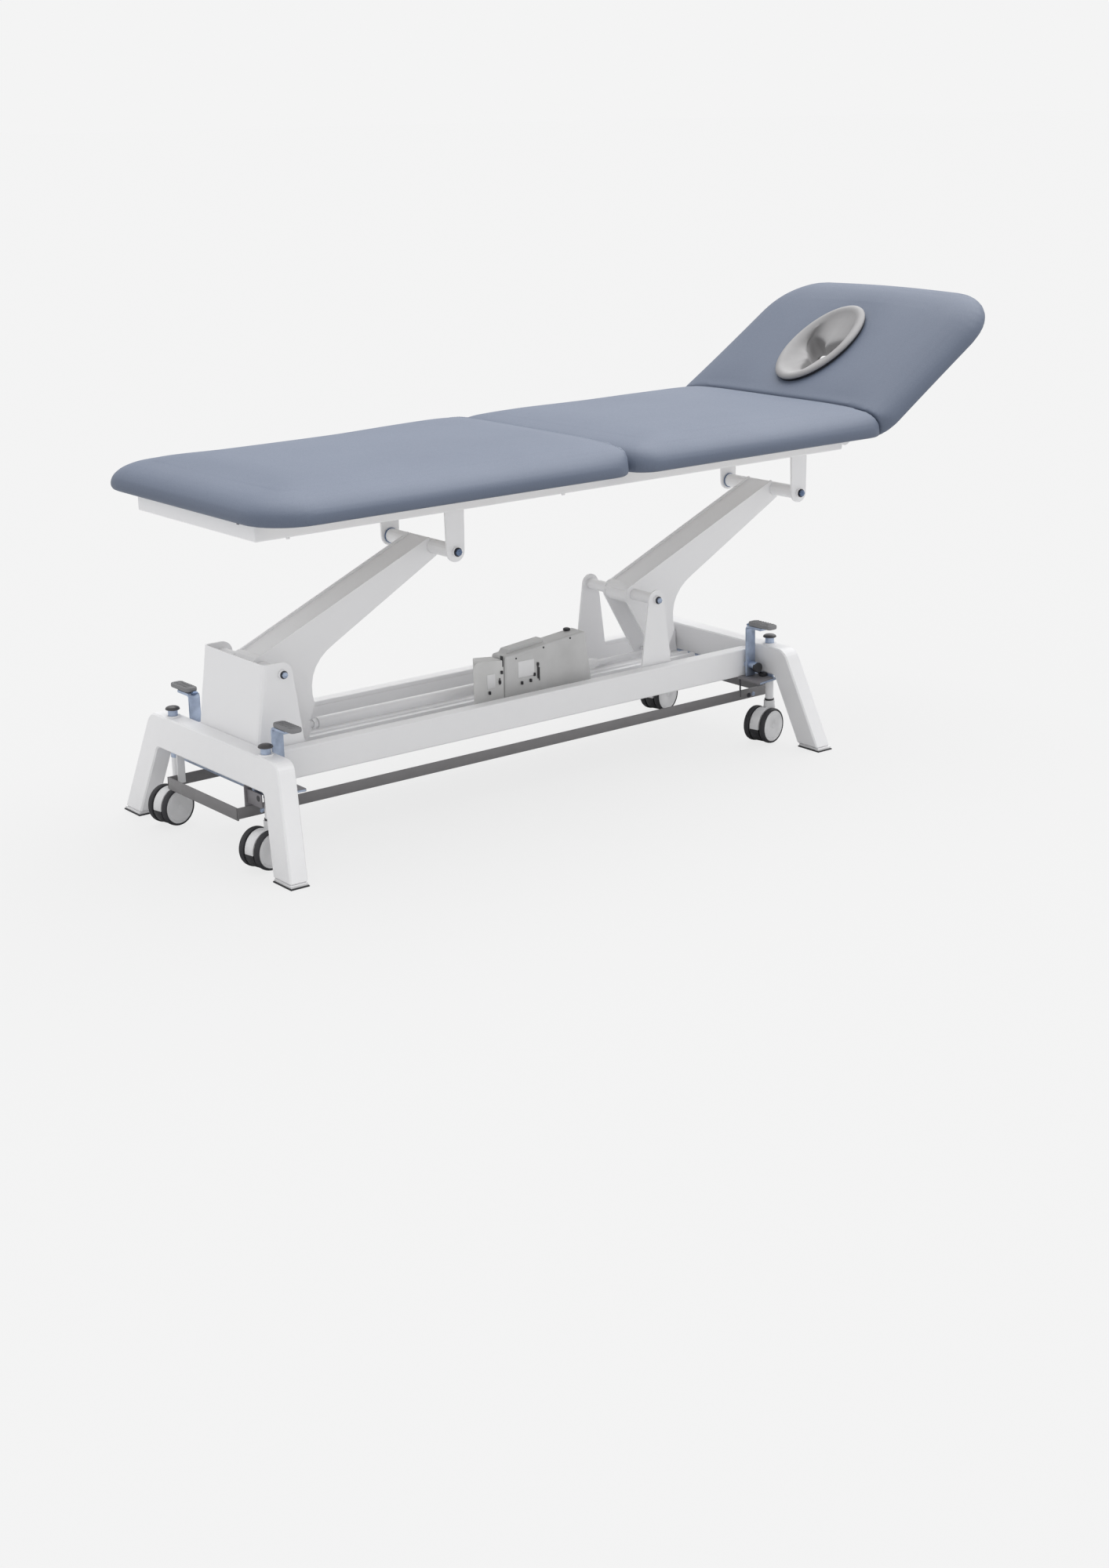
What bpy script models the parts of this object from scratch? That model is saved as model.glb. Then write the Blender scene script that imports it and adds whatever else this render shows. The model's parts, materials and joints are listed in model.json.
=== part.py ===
"""Electric treatment table with a lifting frame, three upholstered sections and four castors.

Metres, +Z up, +X towards the head end, -Y towards the near side. The origin is on the floor
under the middle of the whole table. The pieces are drawn from the middle of the base.
"""
import math

import bmesh
import bpy
from mathutils import Matrix, Vector

# Fits
CLEARANCE = 0.0003          # between pieces that touch
RUNNING_GAP = 0.0005        # between pieces that slide or turn past each other
OVERRUN = 0.010             # how far a cut runs past the face it opens
ARC_STEPS = 5
ROUND_STEPS = 18
BOLT_STEPS = 12
HOOD_STEPS = 16

# End frames: leaning, splayed legs joined by a crossbar
BASE_HALF_LENGTH = 0.706
FOOT_HALF_SPREAD = 0.335
LEG_WIDTH = 0.065
FRAME_DEPTH = 0.040
FRAME_HEIGHT = 0.225
CROSSBAR_HEIGHT = 0.066
LEAN_SHARE = 0.143          # inward run of the frame's face for its rise
SPLAY_SHARE = 0.3625        # outward run of a leg for its drop
FRAME_CORNER = 0.030
FRAME_INNER_CORNER = 0.012
FRAME_EDGE = 0.003
FOOT_PAD_HEIGHT = 0.008
FOOT_PAD_LIP = 0.001
FOOT_PAD_EDGE = 0.0015
COLLAR_RADIUS = 0.015
COLLAR_HEIGHT = 0.003

# Base rails and the folded tray between them
RAIL_INNER = 0.1205
RAIL_WIDTH = 0.030
RAIL_BOTTOM = 0.152
RAIL_HEIGHT = 0.062
RAIL_EDGE = 0.003
TRAY_SHEET = 0.002
TRAY_FLOOR = 0.155
TRAY_FLANGE_HEIGHT = 0.050
TRAY_RIB_HEIGHT = 0.006
TRAY_RIB_WIDTH = 0.013
TRAY_RIB_PLACES = (0.063, 0.088)
TRAY_RIB_SLOPE = 0.002

# Lift linkage: two equal bell cranks in a parallelogram
LOWER_PIVOT_Z = 0.3575
FOOT_PIVOT_INSET = 0.135    # from the base's end
HEAD_PIVOT_INSET = 0.325
ARM_REACH = 0.420
ARM_RISE = 0.1835
ARM_HALF_WIDTH = 0.040
ARM_PLATE = 0.005
ARM_WEB = 0.004
ARM_TOP = 0.021
ARM_LIP = 0.004
ARM_TIP_DEPTH = 0.022
ARM_ELBOW = (0.277, -0.040)
ARM_CURVE_START = (0.165, -0.051)
ARM_CURVE_HANDLE = (0.080, -0.056)
ARM_CURVE_END = (0.068, -0.138)
ARM_CURVE_STEPS = 7
CRANK_PIN = (0.016, -0.171)
CRANK_TIP_RADIUS = 0.022
ARM_HEEL_RADIUS = 0.024
BOSS_RADIUS = 0.022
BOSS_PROUD = 0.001
LOWER_SHAFT_RADIUS = 0.012
UPPER_SHAFT_RADIUS = 0.015
BOLT_RADIUS = 0.006
BOLT_HEAD_RADIUS = 0.0095
BOLT_HEAD_HEIGHT = 0.006
CRANK_BOLT_HEAD = 0.010
CRANK_BOLT_HEIGHT = 0.004

# Tie rod between the crank pins
TIE_ROD_RADIUS = 0.012
TIE_ROD_END_GAP = 0.060     # from the foot crank pin to the tube's end
TIE_ROD_HEAD_GAP = 0.170
ROD_SHANK_RADIUS = 0.006
ROD_SHANK_GRIP = 0.030
ROD_EYE_RADIUS = 0.018
ROD_EYE_WIDTH = 0.024
ROD_NUT_RADIUS = 0.010
ROD_NUT_WIDTH = 0.010
ROD_TAIL = 0.048

# Towers that carry the lower pivots
TOWER_SHEET = 0.004
TOWER_FOLD = 0.010
TOWER_TOP_RADIUS = 0.0235
FOOT_TOWER_REACH = 0.0485   # from the pivot to the cheeks' back edge
HEAD_TOWER_FOOT_SIDE = 0.050
HEAD_TOWER_HEAD_SIDE = 0.045
HEAD_TOWER_RADIUS = 0.0215
TOWER_EDGE = 0.001

# Top frame and the plates that hang from it
TOP_HALF_WIDTH = 0.2275
TOP_TUBE = 0.035
TOP_FOOT_INSET = 0.029      # from the base's end
TOP_HEAD_REACH = 0.031      # past the head brackets' pivot
TOP_BOTTOM_Z = 0.648
TOP_EDGE = 0.003
BRACKET_INNER = 0.1165
BRACKET_SHEET = 0.005
BRACKET_HALF_WIDTH = 0.0235
BRACKET_RADIUS = 0.0215

# Upholstered sections
CUSHION_HALF_WIDTH = 0.350
CUSHION_BOTTOM = 0.685
CUSHION_THICKNESS = 0.067
LEG_CUSHION_LAP = 0.042     # past the top frame's foot end
SEAM_X = 0.147
SEAM_GAP = 0.005
LEG_FOOT_CORNER = 0.105
LEG_SEAM_CORNER = 0.045
SEAT_CORNER = 0.050
HEAD_LENGTH = 0.472
HEAD_CORNER = 0.135
HEAD_SEAM_CORNER = 0.045
HEAD_END_BULGE = 0.014
CREASE_LEAN = 17.8          # degrees from square, on both faces of the head crease
BOARD_THICKNESS = 0.012
BOARD_INSET = 0.060
BOARD_CORNER = 0.020
# Ring heights as shares of the cushion's thickness, with insets from its side in metres
CUSHION_HEIGHT_SHARES = (0.0, 0.0, 0.10, 0.34, 0.66, 0.90, 0.985, 1.0)
CUSHION_INSETS = (0.034, 0.012, 0.003, 0.0, 0.010, 0.034, 0.070, 0.135)
CUSHION_ARC_POINTS = 4
CUSHION_SIDE_POINTS = 2

# Leg section hinge, in the seam under the crisp edge
LEG_HINGE_Z = 0.738
LEG_HINGE_OFFSET = 0.0028   # axis towards the head from the seam's middle
LEAF_SHEET = 0.0018
LEAF_WIDTH = 0.060
LEAF_PLACE = 0.150
KNUCKLE_RADIUS = 0.0045
HINGE_PIN_RADIUS = 0.002

# Head section hinge
HEAD_HINGE_REACH = 0.0245   # past the top frame's head end
HEAD_HINGE_Z = 0.668
HEAD_TILT = 33.0            # degrees, as photographed
EAR_PLACE = 0.200
EAR_SHEET = 0.006
EAR_RADIUS = 0.013
EAR_ROOT = 0.022            # how far the ear runs back into the frame
HEAD_ARM_SHEET = 0.008
HEAD_ARM_DEPTH = 0.030
HEAD_ARM_LENGTH = 0.375
HEAD_CROSS_TUBE = 0.025
HEAD_BOARD_START = 0.034

# Face opening in the head section
FACE_CENTRE = 0.204         # along the head section from its hinge
FACE_HALF_LENGTH = 0.134
FACE_HALF_WIDTH = 0.090
FACE_NECK_INSET = 0.017
FACE_PROUD = 0.0115
FACE_LIP_GAP = 0.0015
FACE_LIP_SHARES = ((0.2, 0.0), (0.0, 0.4), (0.25, 0.9), (0.7, 1.0), (1.3, 0.7))
FACE_BOWL_DEPTH = 0.028
FACE_BOWL_SHARES = ((1.18, 0.72), (1.0, 1.0))   # of the opening and of the bowl's depth
FACE_FLARE_SHARE = 1.02
FACE_POINTS = 36
FACE_HOLE_HALF_LENGTH = 0.062
FACE_HOLE_HALF_WIDTH = 0.052
FACE_HOLE_WAIST = 0.30      # share by which the opening narrows towards the brow

# Castors
STEM_INSET = 0.050          # from the base's end
STEM_INBOARD = 0.151        # from the feet's outer side
STEM_RADIUS = 0.010
STEM_PIN_RADIUS = 0.005
STEM_PIN_LENGTH = 0.018
STEM_FOOT_Z = 0.0945
CAP_RADIUS = 0.016
CAP_HEIGHT = 0.006
CAP_LIFT = 0.0125           # under the cap, above the collar
CAP_SHARES = ((0.6, 0.9), (0.92, 0.55), (1.0, 0.2), (0.95, 0.0))    # of radius and height
CASTOR_TURN = 12.0          # degrees from +X, as photographed
CASTOR_TRAIL = 0.022
WHEEL_RADIUS = 0.040
WHEEL_HALF_WIDTH = 0.0285
WHEEL_TREAD_HALF = 0.023
WHEEL_GAP_HALF = 0.0145
WHEEL_FACE_RADIUS = 0.033
WHEEL_FACE_RECESS = 0.0016
WHEEL_FACE_RIM = 0.0012
WHEEL_SHOULDER_DROP = 0.0036
WHEEL_TREAD_FALL = 0.0016
WHEEL_RAISED = 0.002        # tread above the floor when the feet carry the table
AXLE_RADIUS = 0.006
HOOD_RADIUS = 0.0365
HOOD_HALF_WIDTH = 0.0138
HOOD_BOSS_RADIUS = 0.0125
YOKE_WIDTH = 0.008
YOKE_BOTTOM = 0.141
YOKE_HEIGHT = 0.014
GUSSET_SHEET = 0.004
GUSSET_BOTTOM = 0.1475
GUSSET_REACH = 0.083
GUSSET_HALF_WIDTH = 0.028   # at the stem
GUSSET_TIP_HALF = 0.040

# Castor pedals
PEDAL_INSET = 0.0895        # from the base's end
PEDAL_PIVOT_Z = 0.180
PEDAL_BAR_Y = 0.163
PEDAL_BAR_WIDTH = 0.025
PEDAL_BAR_SHEET = 0.006
PEDAL_BAR_BOTTOM = 0.154
PEDAL_BAR_TOP = 0.272
PEDAL_TOE = 0.044
PEDAL_BEND = 0.010
PEDAL_HUB_RADIUS = 0.011
PEDAL_STUD_RADIUS = 0.007
PEDAL_KNOB_RADIUS = 0.014
PEDAL_KNOB_DEPTH = 0.013
PEDAL_HUB_OUT = 0.012
PAD_LENGTH = 0.072
PAD_WIDTH = 0.026
PAD_HEIGHT = 0.011
PAD_START = 0.0015          # outward from the bar
PAD_EDGE = 0.004

# Foot-switch bar round the base
BAR_INBOARD = 0.044         # from the castor stems
BAR_END_INSET = 0.004       # from the base's end
BAR_SHEET = 0.003
BAR_HEIGHT = 0.0225
BAR_BOTTOM = 0.093
BAR_CORNER = 0.012
HANGER_SHEET = 0.003
HANGER_WIDTH = 0.018
HANGER_DROP = 0.061
HANGER_SETBACK = 0.0075     # outboard of the castor stem's axis

# Control housings in the tray
BOX_NEAR_Y = -0.088
BOX_DEPTH = 0.050
BOX_LEFT = -0.016
BOX_RIGHT = 0.226
BOX_LEFT_TOP = 0.290
BOX_RIGHT_TOP = 0.312
BOX_LEFT_DRAFT = 0.004
BOX_RIGHT_DRAFT = 0.020
BOX_EDGE = 0.006
BOX_HUMP_START = 0.016
BOX_HUMP_LENGTH = 0.100
BOX_HUMP_HEIGHT = 0.009
BOX_HUMP_DEPTH = 0.026
SMALL_BOX_LENGTH = 0.078
SMALL_BOX_TOP = 0.292
SMALL_BOX_FALL = 0.008
SMALL_BOX_DEPTH = 0.044
SMALL_BOX_CORNER = 0.016
SMALL_BOX_SLANT = 35.0      # degrees its foot end slants from square

# Finishes: colour, roughness, metallic
WHITE_PAINT = ((0.80, 0.80, 0.82), 0.38, 0.0)
GREY_PAINT = ((0.23, 0.23, 0.24), 0.45, 0.0)
ZINC_STEEL = ((0.42, 0.48, 0.60), 0.35, 0.9)
DARK_STEEL = ((0.10, 0.10, 0.11), 0.40, 0.6)
RUBBER = ((0.03, 0.03, 0.035), 0.75, 0.0)
BLUE_HIDE = ((0.36, 0.42, 0.54), 0.55, 0.0)
BIRCH_PLY = ((0.62, 0.48, 0.32), 0.60, 0.0)
GREY_SHELL = ((0.50, 0.50, 0.51), 0.45, 0.0)
PALE_SHELL = ((0.62, 0.62, 0.63), 0.40, 0.0)

# From the middle of the base to the middle of the table's whole length
HEAD_OVERHANG = 0.2615

# Values that follow from the sizes above
HOME = Matrix.Translation((-HEAD_OVERHANG, 0, 0))
SIDES = (("near", -1), ("far", 1))
ENDS = (("foot", -1), ("head", 1))
FOOT_PIVOT_X = FOOT_PIVOT_INSET - BASE_HALF_LENGTH
HEAD_PIVOT_X = BASE_HALF_LENGTH - HEAD_PIVOT_INSET
FOOT_TOWER_BACK = FOOT_PIVOT_X + FOOT_TOWER_REACH
HEAD_TOWER_FOOT = (HEAD_PIVOT_X - HEAD_TOWER_FOOT_SIDE, HEAD_PIVOT_X + HEAD_TOWER_HEAD_SIDE)
TOP_FOOT_X = TOP_FOOT_INSET - BASE_HALF_LENGTH
TOP_HEAD_X = HEAD_PIVOT_X + ARM_REACH + TOP_HEAD_REACH
LEG_CUSHION_FOOT = TOP_FOOT_X - LEG_CUSHION_LAP
HEAD_HINGE_X = TOP_HEAD_X + HEAD_HINGE_REACH
STEM_X = BASE_HALF_LENGTH - STEM_INSET
STEM_Y = FOOT_HALF_SPREAD - STEM_INBOARD
PEDAL_X = BASE_HALF_LENGTH - PEDAL_INSET
BAR_HALF_WIDTH = STEM_Y - BAR_INBOARD
ARM_LENGTH = math.hypot(ARM_REACH, ARM_RISE)
ARM_ANGLE = math.atan2(ARM_RISE, ARM_REACH)
TRAY_HALF = RAIL_INNER - CLEARANCE
TOWER_HALF = TRAY_HALF - TRAY_SHEET - CLEARANCE
TRAY_TOP = TRAY_FLOOR + TRAY_SHEET
RIB_TOP = TRAY_TOP + TRAY_RIB_HEIGHT
TOWER_BOTTOM = RIB_TOP + CLEARANCE
PIVOTS = {"foot": FOOT_PIVOT_X, "head": HEAD_PIVOT_X}
AXLE_Z = WHEEL_RAISED + WHEEL_RADIUS
LEG_HINGE_X = SEAM_X + LEG_HINGE_OFFSET
LEG_FACE = SEAM_X - SEAM_GAP / 2
SEAT_FACE = SEAM_X + SEAM_GAP / 2
BOARD_BOTTOM = TOP_BOTTOM_Z + TOP_TUBE + CLEARANCE
STEM_BORE = STEM_RADIUS + CLEARANCE
BOLT_BORE = BOLT_RADIUS + CLEARANCE
STUD_END = PEDAL_BAR_Y + PEDAL_BAR_SHEET / 2 + PEDAL_HUB_OUT


def clear_scene():
    """Start from an empty scene with one collection for the pieces and one for the cutters."""
    for old in list(bpy.data.objects):
        bpy.data.objects.remove(old, do_unlink=True)
    groups = []
    for name in ("treatment_table", "cutters"):
        group = bpy.data.collections.new(name)
        bpy.context.scene.collection.children.link(group)
        groups.append(group)
    return groups


PIECES, CUTTERS = clear_scene()


def paint(piece, finish):
    """Give the piece its own Principled material."""
    colour, roughness, metallic = finish
    material = bpy.data.materials.new(piece.name + "_finish")
    material.use_nodes = True
    shader = material.node_tree.nodes["Principled BSDF"]
    shader.inputs["Base Color"].default_value = (*colour, 1)
    shader.inputs["Roughness"].default_value = roughness
    shader.inputs["Metallic"].default_value = metallic
    piece.data.materials.clear()
    piece.data.materials.append(material)


def add_piece(name, mesh, finish, frame=Matrix()):
    """Put a mesh, drawn in the frame's own axes, into the table as a named piece."""
    piece = bpy.data.objects.new(name, mesh)
    piece.matrix_world = HOME @ frame
    PIECES.objects.link(piece)
    paint(piece, finish)
    return piece


def add_tool(mesh, frame=Matrix()):
    """Put a mesh into the cutters' collection, hidden from renders."""
    tool = bpy.data.objects.new("tool", mesh)
    tool.matrix_world = HOME @ frame
    CUTTERS.objects.link(tool)
    tool.hide_render = True
    tool.display_type = "WIRE"
    return tool


def combine(piece, tool, operation):
    """Cut the tool from the piece, or join it on."""
    change = piece.modifiers.new(operation.lower(), "BOOLEAN")
    change.operation = operation
    change.object = tool
    change.solver = "EXACT"


def cut(piece, mesh, frame=Matrix()):
    combine(piece, add_tool(mesh, frame), "DIFFERENCE")


def join(piece, mesh, frame=Matrix()):
    combine(piece, add_tool(mesh, frame), "UNION")


def soften(piece, width, segments=2):
    """Round the piece's sharp edges."""
    bevel = piece.modifiers.new("edges", "BEVEL")
    bevel.width = width
    bevel.segments = segments
    bevel.limit_method = "ANGLE"
    bevel.angle_limit = math.radians(40)


def smooth(piece, angle=35):
    """Shade round faces smooth and keep creases sharp."""
    piece.data.shade_smooth()
    piece.data.set_sharp_from_angle(angle=math.radians(angle))


def to_mesh(bm):
    mesh = bpy.data.meshes.new("shape")
    bmesh.ops.recalc_face_normals(bm, faces=bm.faces)
    bm.to_mesh(mesh)
    bm.free()
    return mesh


def box(low, high):
    """A box between two opposite corners."""
    low, high = Vector(low), Vector(high)
    bm = bmesh.new()
    place = Matrix.Translation((low + high) / 2) @ Matrix.Diagonal((*(high - low), 1))
    bmesh.ops.create_cube(bm, size=1, matrix=place)
    return to_mesh(bm)


AXIS_TURNS = {
    "X": Matrix.Rotation(math.radians(90), 4, "Y"),
    "Y": Matrix.Rotation(math.radians(-90), 4, "X"),
    "Z": Matrix(),
}


def rod(start, length, radius, axis, steps=ROUND_STEPS):
    """A cylinder that begins at start and runs along one axis, its flats facing the others."""
    bm = bmesh.new()
    place = Matrix.Translation((0, 0, length / 2)) @ Matrix.Rotation(math.pi / steps, 4, "Z")
    bmesh.ops.create_cone(bm, cap_ends=True, segments=steps, radius1=radius, radius2=radius,
                          depth=length, matrix=place)
    bmesh.ops.transform(bm, matrix=Matrix.Translation(start) @ AXIS_TURNS[axis], verts=bm.verts)
    return to_mesh(bm)


def arc(centre, radius, first, last, steps=ARC_STEPS):
    """Points on a circle from one angle to another, in degrees."""
    points = []
    for step in range(steps + 1):
        angle = math.radians(first + (last - first) * step / steps)
        points.append(Vector((centre[0] + radius * math.cos(angle),
                              centre[1] + radius * math.sin(angle))))
    return points


def rounded(corners, steps=ARC_STEPS):
    """A closed outline through (x, y, radius) corners, with each corner rounded."""
    outline = []
    for index, (x, y, radius) in enumerate(corners):
        here = Vector((x, y))
        if radius == 0:
            outline.append(here)
            continue
        before = (Vector(corners[index - 1][:2]) - here).normalized()
        after = (Vector(corners[(index + 1) % len(corners)][:2]) - here).normalized()
        half = before.angle(after) / 2
        centre = here + (before + after).normalized() * radius / math.sin(half)
        start = here + before * radius / math.tan(half) - centre
        end = here + after * radius / math.tan(half) - centre
        turn = math.atan2(start.cross(end), start.dot(end))
        for step in range(steps + 1):
            outline.append(centre + Matrix.Rotation(turn * step / steps, 2) @ start)
    return outline


PLANE_TURNS = {
    "XY": Matrix(),
    "XZ": Matrix.Rotation(math.radians(90), 4, "X"),
    "YZ": Matrix.Rotation(math.radians(90), 4, "Z") @ Matrix.Rotation(math.radians(90), 4, "X"),
}


def plate(outlines, thickness, plane, offset):
    """A flat plate: the first outline is its edge and any others are holes in it.

    The offset places the middle of its thickness along the plane's normal: Z, Y or X.
    """
    curve = bpy.data.curves.new("outline", "CURVE")
    curve.dimensions = "2D"
    curve.fill_mode = "BOTH"
    curve.extrude = thickness / 2
    for outline in outlines:
        spline = curve.splines.new("POLY")
        spline.points.add(len(outline) - 1)
        for point, place in zip(spline.points, outline):
            point.co = (place[0], place[1], 0, 1)
        spline.use_cyclic_u = True
    drawn = bpy.data.objects.new("outline", curve)
    CUTTERS.objects.link(drawn)
    view = bpy.context.evaluated_depsgraph_get()
    mesh = bpy.data.meshes.new_from_object(drawn.evaluated_get(view))
    bpy.data.objects.remove(drawn, do_unlink=True)
    normal = {"XY": (0, 0, 1), "XZ": (0, 1, 0), "YZ": (1, 0, 0)}[plane]
    bm = bmesh.new()
    bm.from_mesh(mesh)
    bmesh.ops.remove_doubles(bm, verts=bm.verts, dist=CLEARANCE / 30)
    bmesh.ops.dissolve_limit(bm, angle_limit=math.radians(0.1), verts=bm.verts, edges=bm.edges)
    place = Matrix.Translation(Vector(normal) * offset) @ PLANE_TURNS[plane]
    bmesh.ops.transform(bm, matrix=place, verts=bm.verts)
    bpy.data.meshes.remove(mesh)
    return to_mesh(bm)


def turned(profile, frame, steps=ROUND_STEPS):
    """An object turned about its own Z axis from (radius, height) points, top to bottom."""
    mesh = bpy.data.meshes.new("profile")
    points = [(radius, 0, height) for radius, height in profile]
    edges = [(index, index + 1) for index in range(len(points) - 1)]
    mesh.from_pydata(points, edges, [])
    piece = bpy.data.objects.new("turned", mesh)
    piece.matrix_world = HOME @ frame
    screw = piece.modifiers.new("turn", "SCREW")
    screw.steps = steps
    screw.render_steps = steps
    screw.use_merge_vertices = True
    screw.merge_threshold = CLEARANCE / 30
    return piece


def add_turned(name, profile, frame, finish, steps=ROUND_STEPS):
    piece = turned(profile, frame, steps)
    piece.name = name
    PIECES.objects.link(piece)
    paint(piece, finish)
    return piece


def join_turned(piece, profile, frame, steps):
    tool = turned(profile, frame, steps)
    CUTTERS.objects.link(tool)
    tool.hide_render = True
    tool.display_type = "WIRE"
    combine(piece, tool, "UNION")


def inner_face(height):
    """Distance from the middle of the base to an end frame's inner face at a height."""
    return BASE_HALF_LENGTH - FRAME_DEPTH - LEAN_SHARE * height


def tangent_corner(pivot, radius, foot, top):
    """Where a line from the foot point, touching the circle, meets the height top."""
    across = foot[0] - pivot[0]
    below = pivot[1] - foot[1]
    side = math.copysign(1, across)
    lean = math.atan2(abs(across), below) - math.asin(radius / math.hypot(across, below))
    return foot[0] - side * math.tan(lean) * (top - foot[1])


def build_end_frame(end, side):
    """An inverted U of box tube, its legs splayed outward and its whole face leaning in."""
    floor = FOOT_PAD_HEIGHT + CLEARANCE
    under = FRAME_HEIGHT - CROSSBAR_HEIGHT

    def outer(height):
        return FOOT_HALF_SPREAD - SPLAY_SHARE * height

    corners = [
        (-outer(floor), floor, 0),
        (-outer(FRAME_HEIGHT), FRAME_HEIGHT, FRAME_CORNER),
        (outer(FRAME_HEIGHT), FRAME_HEIGHT, FRAME_CORNER),
        (outer(floor), floor, 0),
        (outer(floor) - LEG_WIDTH, floor, 0),
        (outer(under) - LEG_WIDTH, under, FRAME_INNER_CORNER),
        (LEG_WIDTH - outer(under), under, FRAME_INNER_CORNER),
        (LEG_WIDTH - outer(floor), floor, 0),
    ]
    mesh = plate([rounded(corners)], FRAME_DEPTH, "YZ", side * (BASE_HALF_LENGTH - FRAME_DEPTH / 2))
    lean = Matrix()
    lean[0][2] = -side * LEAN_SHARE
    mesh.transform(lean)
    piece = add_piece("end_frame_" + end, mesh, WHITE_PAINT)
    soften(piece, FRAME_EDGE, 1)
    for _, across in SIDES:
        stem = (side * STEM_X, across * STEM_Y)
        root = FRAME_HEIGHT - CROSSBAR_HEIGHT / 2
        join(piece, rod((*stem, root), FRAME_HEIGHT + COLLAR_HEIGHT - root, COLLAR_RADIUS, "Z"))
        cut(piece, rod((*stem, under - OVERRUN), CROSSBAR_HEIGHT + COLLAR_HEIGHT + OVERRUN * 2,
                       STEM_BORE, "Z"))


def build_foot_pad(end, side, near, across):
    """The rubber shoe under one leg, a little larger than the leg's section."""
    low = side * (BASE_HALF_LENGTH - FRAME_DEPTH - FOOT_PAD_LIP)
    high = side * (BASE_HALF_LENGTH + FOOT_PAD_LIP)
    inner = across * (FOOT_HALF_SPREAD - LEG_WIDTH - FOOT_PAD_LIP)
    outer = across * (FOOT_HALF_SPREAD + FOOT_PAD_LIP)
    mesh = box((min(low, high), min(inner, outer), 0),
               (max(low, high), max(inner, outer), FOOT_PAD_HEIGHT))
    soften(add_piece(f"foot_pad_{end}_{near}", mesh, RUBBER), FOOT_PAD_EDGE, 1)


def build_rail(near, across):
    """A side rail, its ends mitred to the leaning end frames, with a stud for each pedal."""
    top = RAIL_BOTTOM + RAIL_HEIGHT
    low_end = inner_face(RAIL_BOTTOM) - CLEARANCE
    high_end = inner_face(top) - CLEARANCE
    outline = [(-low_end, RAIL_BOTTOM), (low_end, RAIL_BOTTOM), (high_end, top), (-high_end, top)]
    middle = across * (RAIL_INNER + RAIL_WIDTH / 2)
    piece = add_piece("rail_" + near, plate([outline], RAIL_WIDTH, "XZ", middle), WHITE_PAINT)
    soften(piece, RAIL_EDGE)
    for _, side in ENDS:
        length = STUD_END - RAIL_INNER - RAIL_WIDTH / 2
        start = middle if across > 0 else -STUD_END
        join(piece, rod((side * PEDAL_X, start, PEDAL_PIVOT_Z), length, PEDAL_STUD_RADIUS, "Y"))


def build_tray():
    """The folded sheet between the rails, stiffened by ribs along its floor."""
    section = [(TRAY_HALF, TRAY_FLOOR + TRAY_FLANGE_HEIGHT), (TRAY_HALF, TRAY_FLOOR)]
    for place in reversed(TRAY_RIB_PLACES):
        section.append((place, TRAY_FLOOR))
        section.append((place - TRAY_RIB_SLOPE, TRAY_FLOOR + TRAY_RIB_HEIGHT))
        section.append((place - TRAY_RIB_WIDTH + TRAY_RIB_SLOPE, TRAY_FLOOR + TRAY_RIB_HEIGHT))
        section.append((place - TRAY_RIB_WIDTH, TRAY_FLOOR))
    section += [(-y, z) for y, z in reversed(section)]
    half = inner_face(TRAY_FLOOR + TRAY_FLANGE_HEIGHT) - CLEARANCE
    bm = bmesh.new()
    rows = [[bm.verts.new((x, y, z)) for y, z in section] for x in (-half, half)]
    for index in range(len(section) - 1):
        bm.faces.new((rows[0][index], rows[0][index + 1], rows[1][index + 1], rows[1][index]))
    mesh = bpy.data.meshes.new("tray")
    bm.to_mesh(mesh)
    bm.free()
    piece = add_piece("base_tray", mesh, WHITE_PAINT)
    shell = piece.modifiers.new("sheet", "SOLIDIFY")
    shell.thickness = TRAY_SHEET
    shell.offset = 1
    shell.use_even_offset = True


def build_foot_tower():
    """A sheet bent into a U: a leaning front panel and two cheeks that hold the foot pivot."""
    pivot = (FOOT_PIVOT_X, LOWER_PIVOT_Z)
    top = LOWER_PIVOT_Z + TOWER_TOP_RADIUS
    foot = (FOOT_TOWER_BACK, TOWER_BOTTOM)
    corners = [
        (CLEARANCE - inner_face(TOWER_BOTTOM), TOWER_BOTTOM, 0),
        (CLEARANCE - inner_face(top), top, 0),
        (tangent_corner(pivot, TOWER_TOP_RADIUS, foot, top), top, TOWER_TOP_RADIUS),
        (*foot, 0),
    ]
    outline = rounded(corners)
    bm = bmesh.new()
    cheeks = []
    for _, across in SIDES:
        ring = [bm.verts.new((x, across * TOWER_HALF, z)) for x, z in outline]
        cheeks.append(ring)
        bm.faces.new(ring if across < 0 else ring[::-1])
    near, far = cheeks
    bm.faces.new((near[1], near[0], far[0], far[1]))
    bmesh.ops.recalc_face_normals(bm, faces=bm.faces)
    folds = [edge for edge in bm.edges if len(edge.link_faces) == 2]
    bmesh.ops.bevel(bm, geom=folds, offset=TOWER_FOLD, segments=3, profile=0.5, affect="EDGES")
    panel = min(bm.faces, key=lambda face: face.calc_center_median().x)
    if panel.normal.x > 0:
        bmesh.ops.reverse_faces(bm, faces=bm.faces)
    mesh = bpy.data.meshes.new("tower")
    bm.to_mesh(mesh)
    bm.free()
    piece = add_piece("tower_foot", mesh, WHITE_PAINT)
    shell = piece.modifiers.new("sheet", "SOLIDIFY")
    shell.thickness = TOWER_SHEET
    shell.offset = -1
    shell.use_even_offset = True
    cut(piece, rod((FOOT_PIVOT_X, -TOWER_HALF - OVERRUN, LOWER_PIVOT_Z),
                   (TOWER_HALF + OVERRUN) * 2, BOLT_BORE, "Y"))


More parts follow.
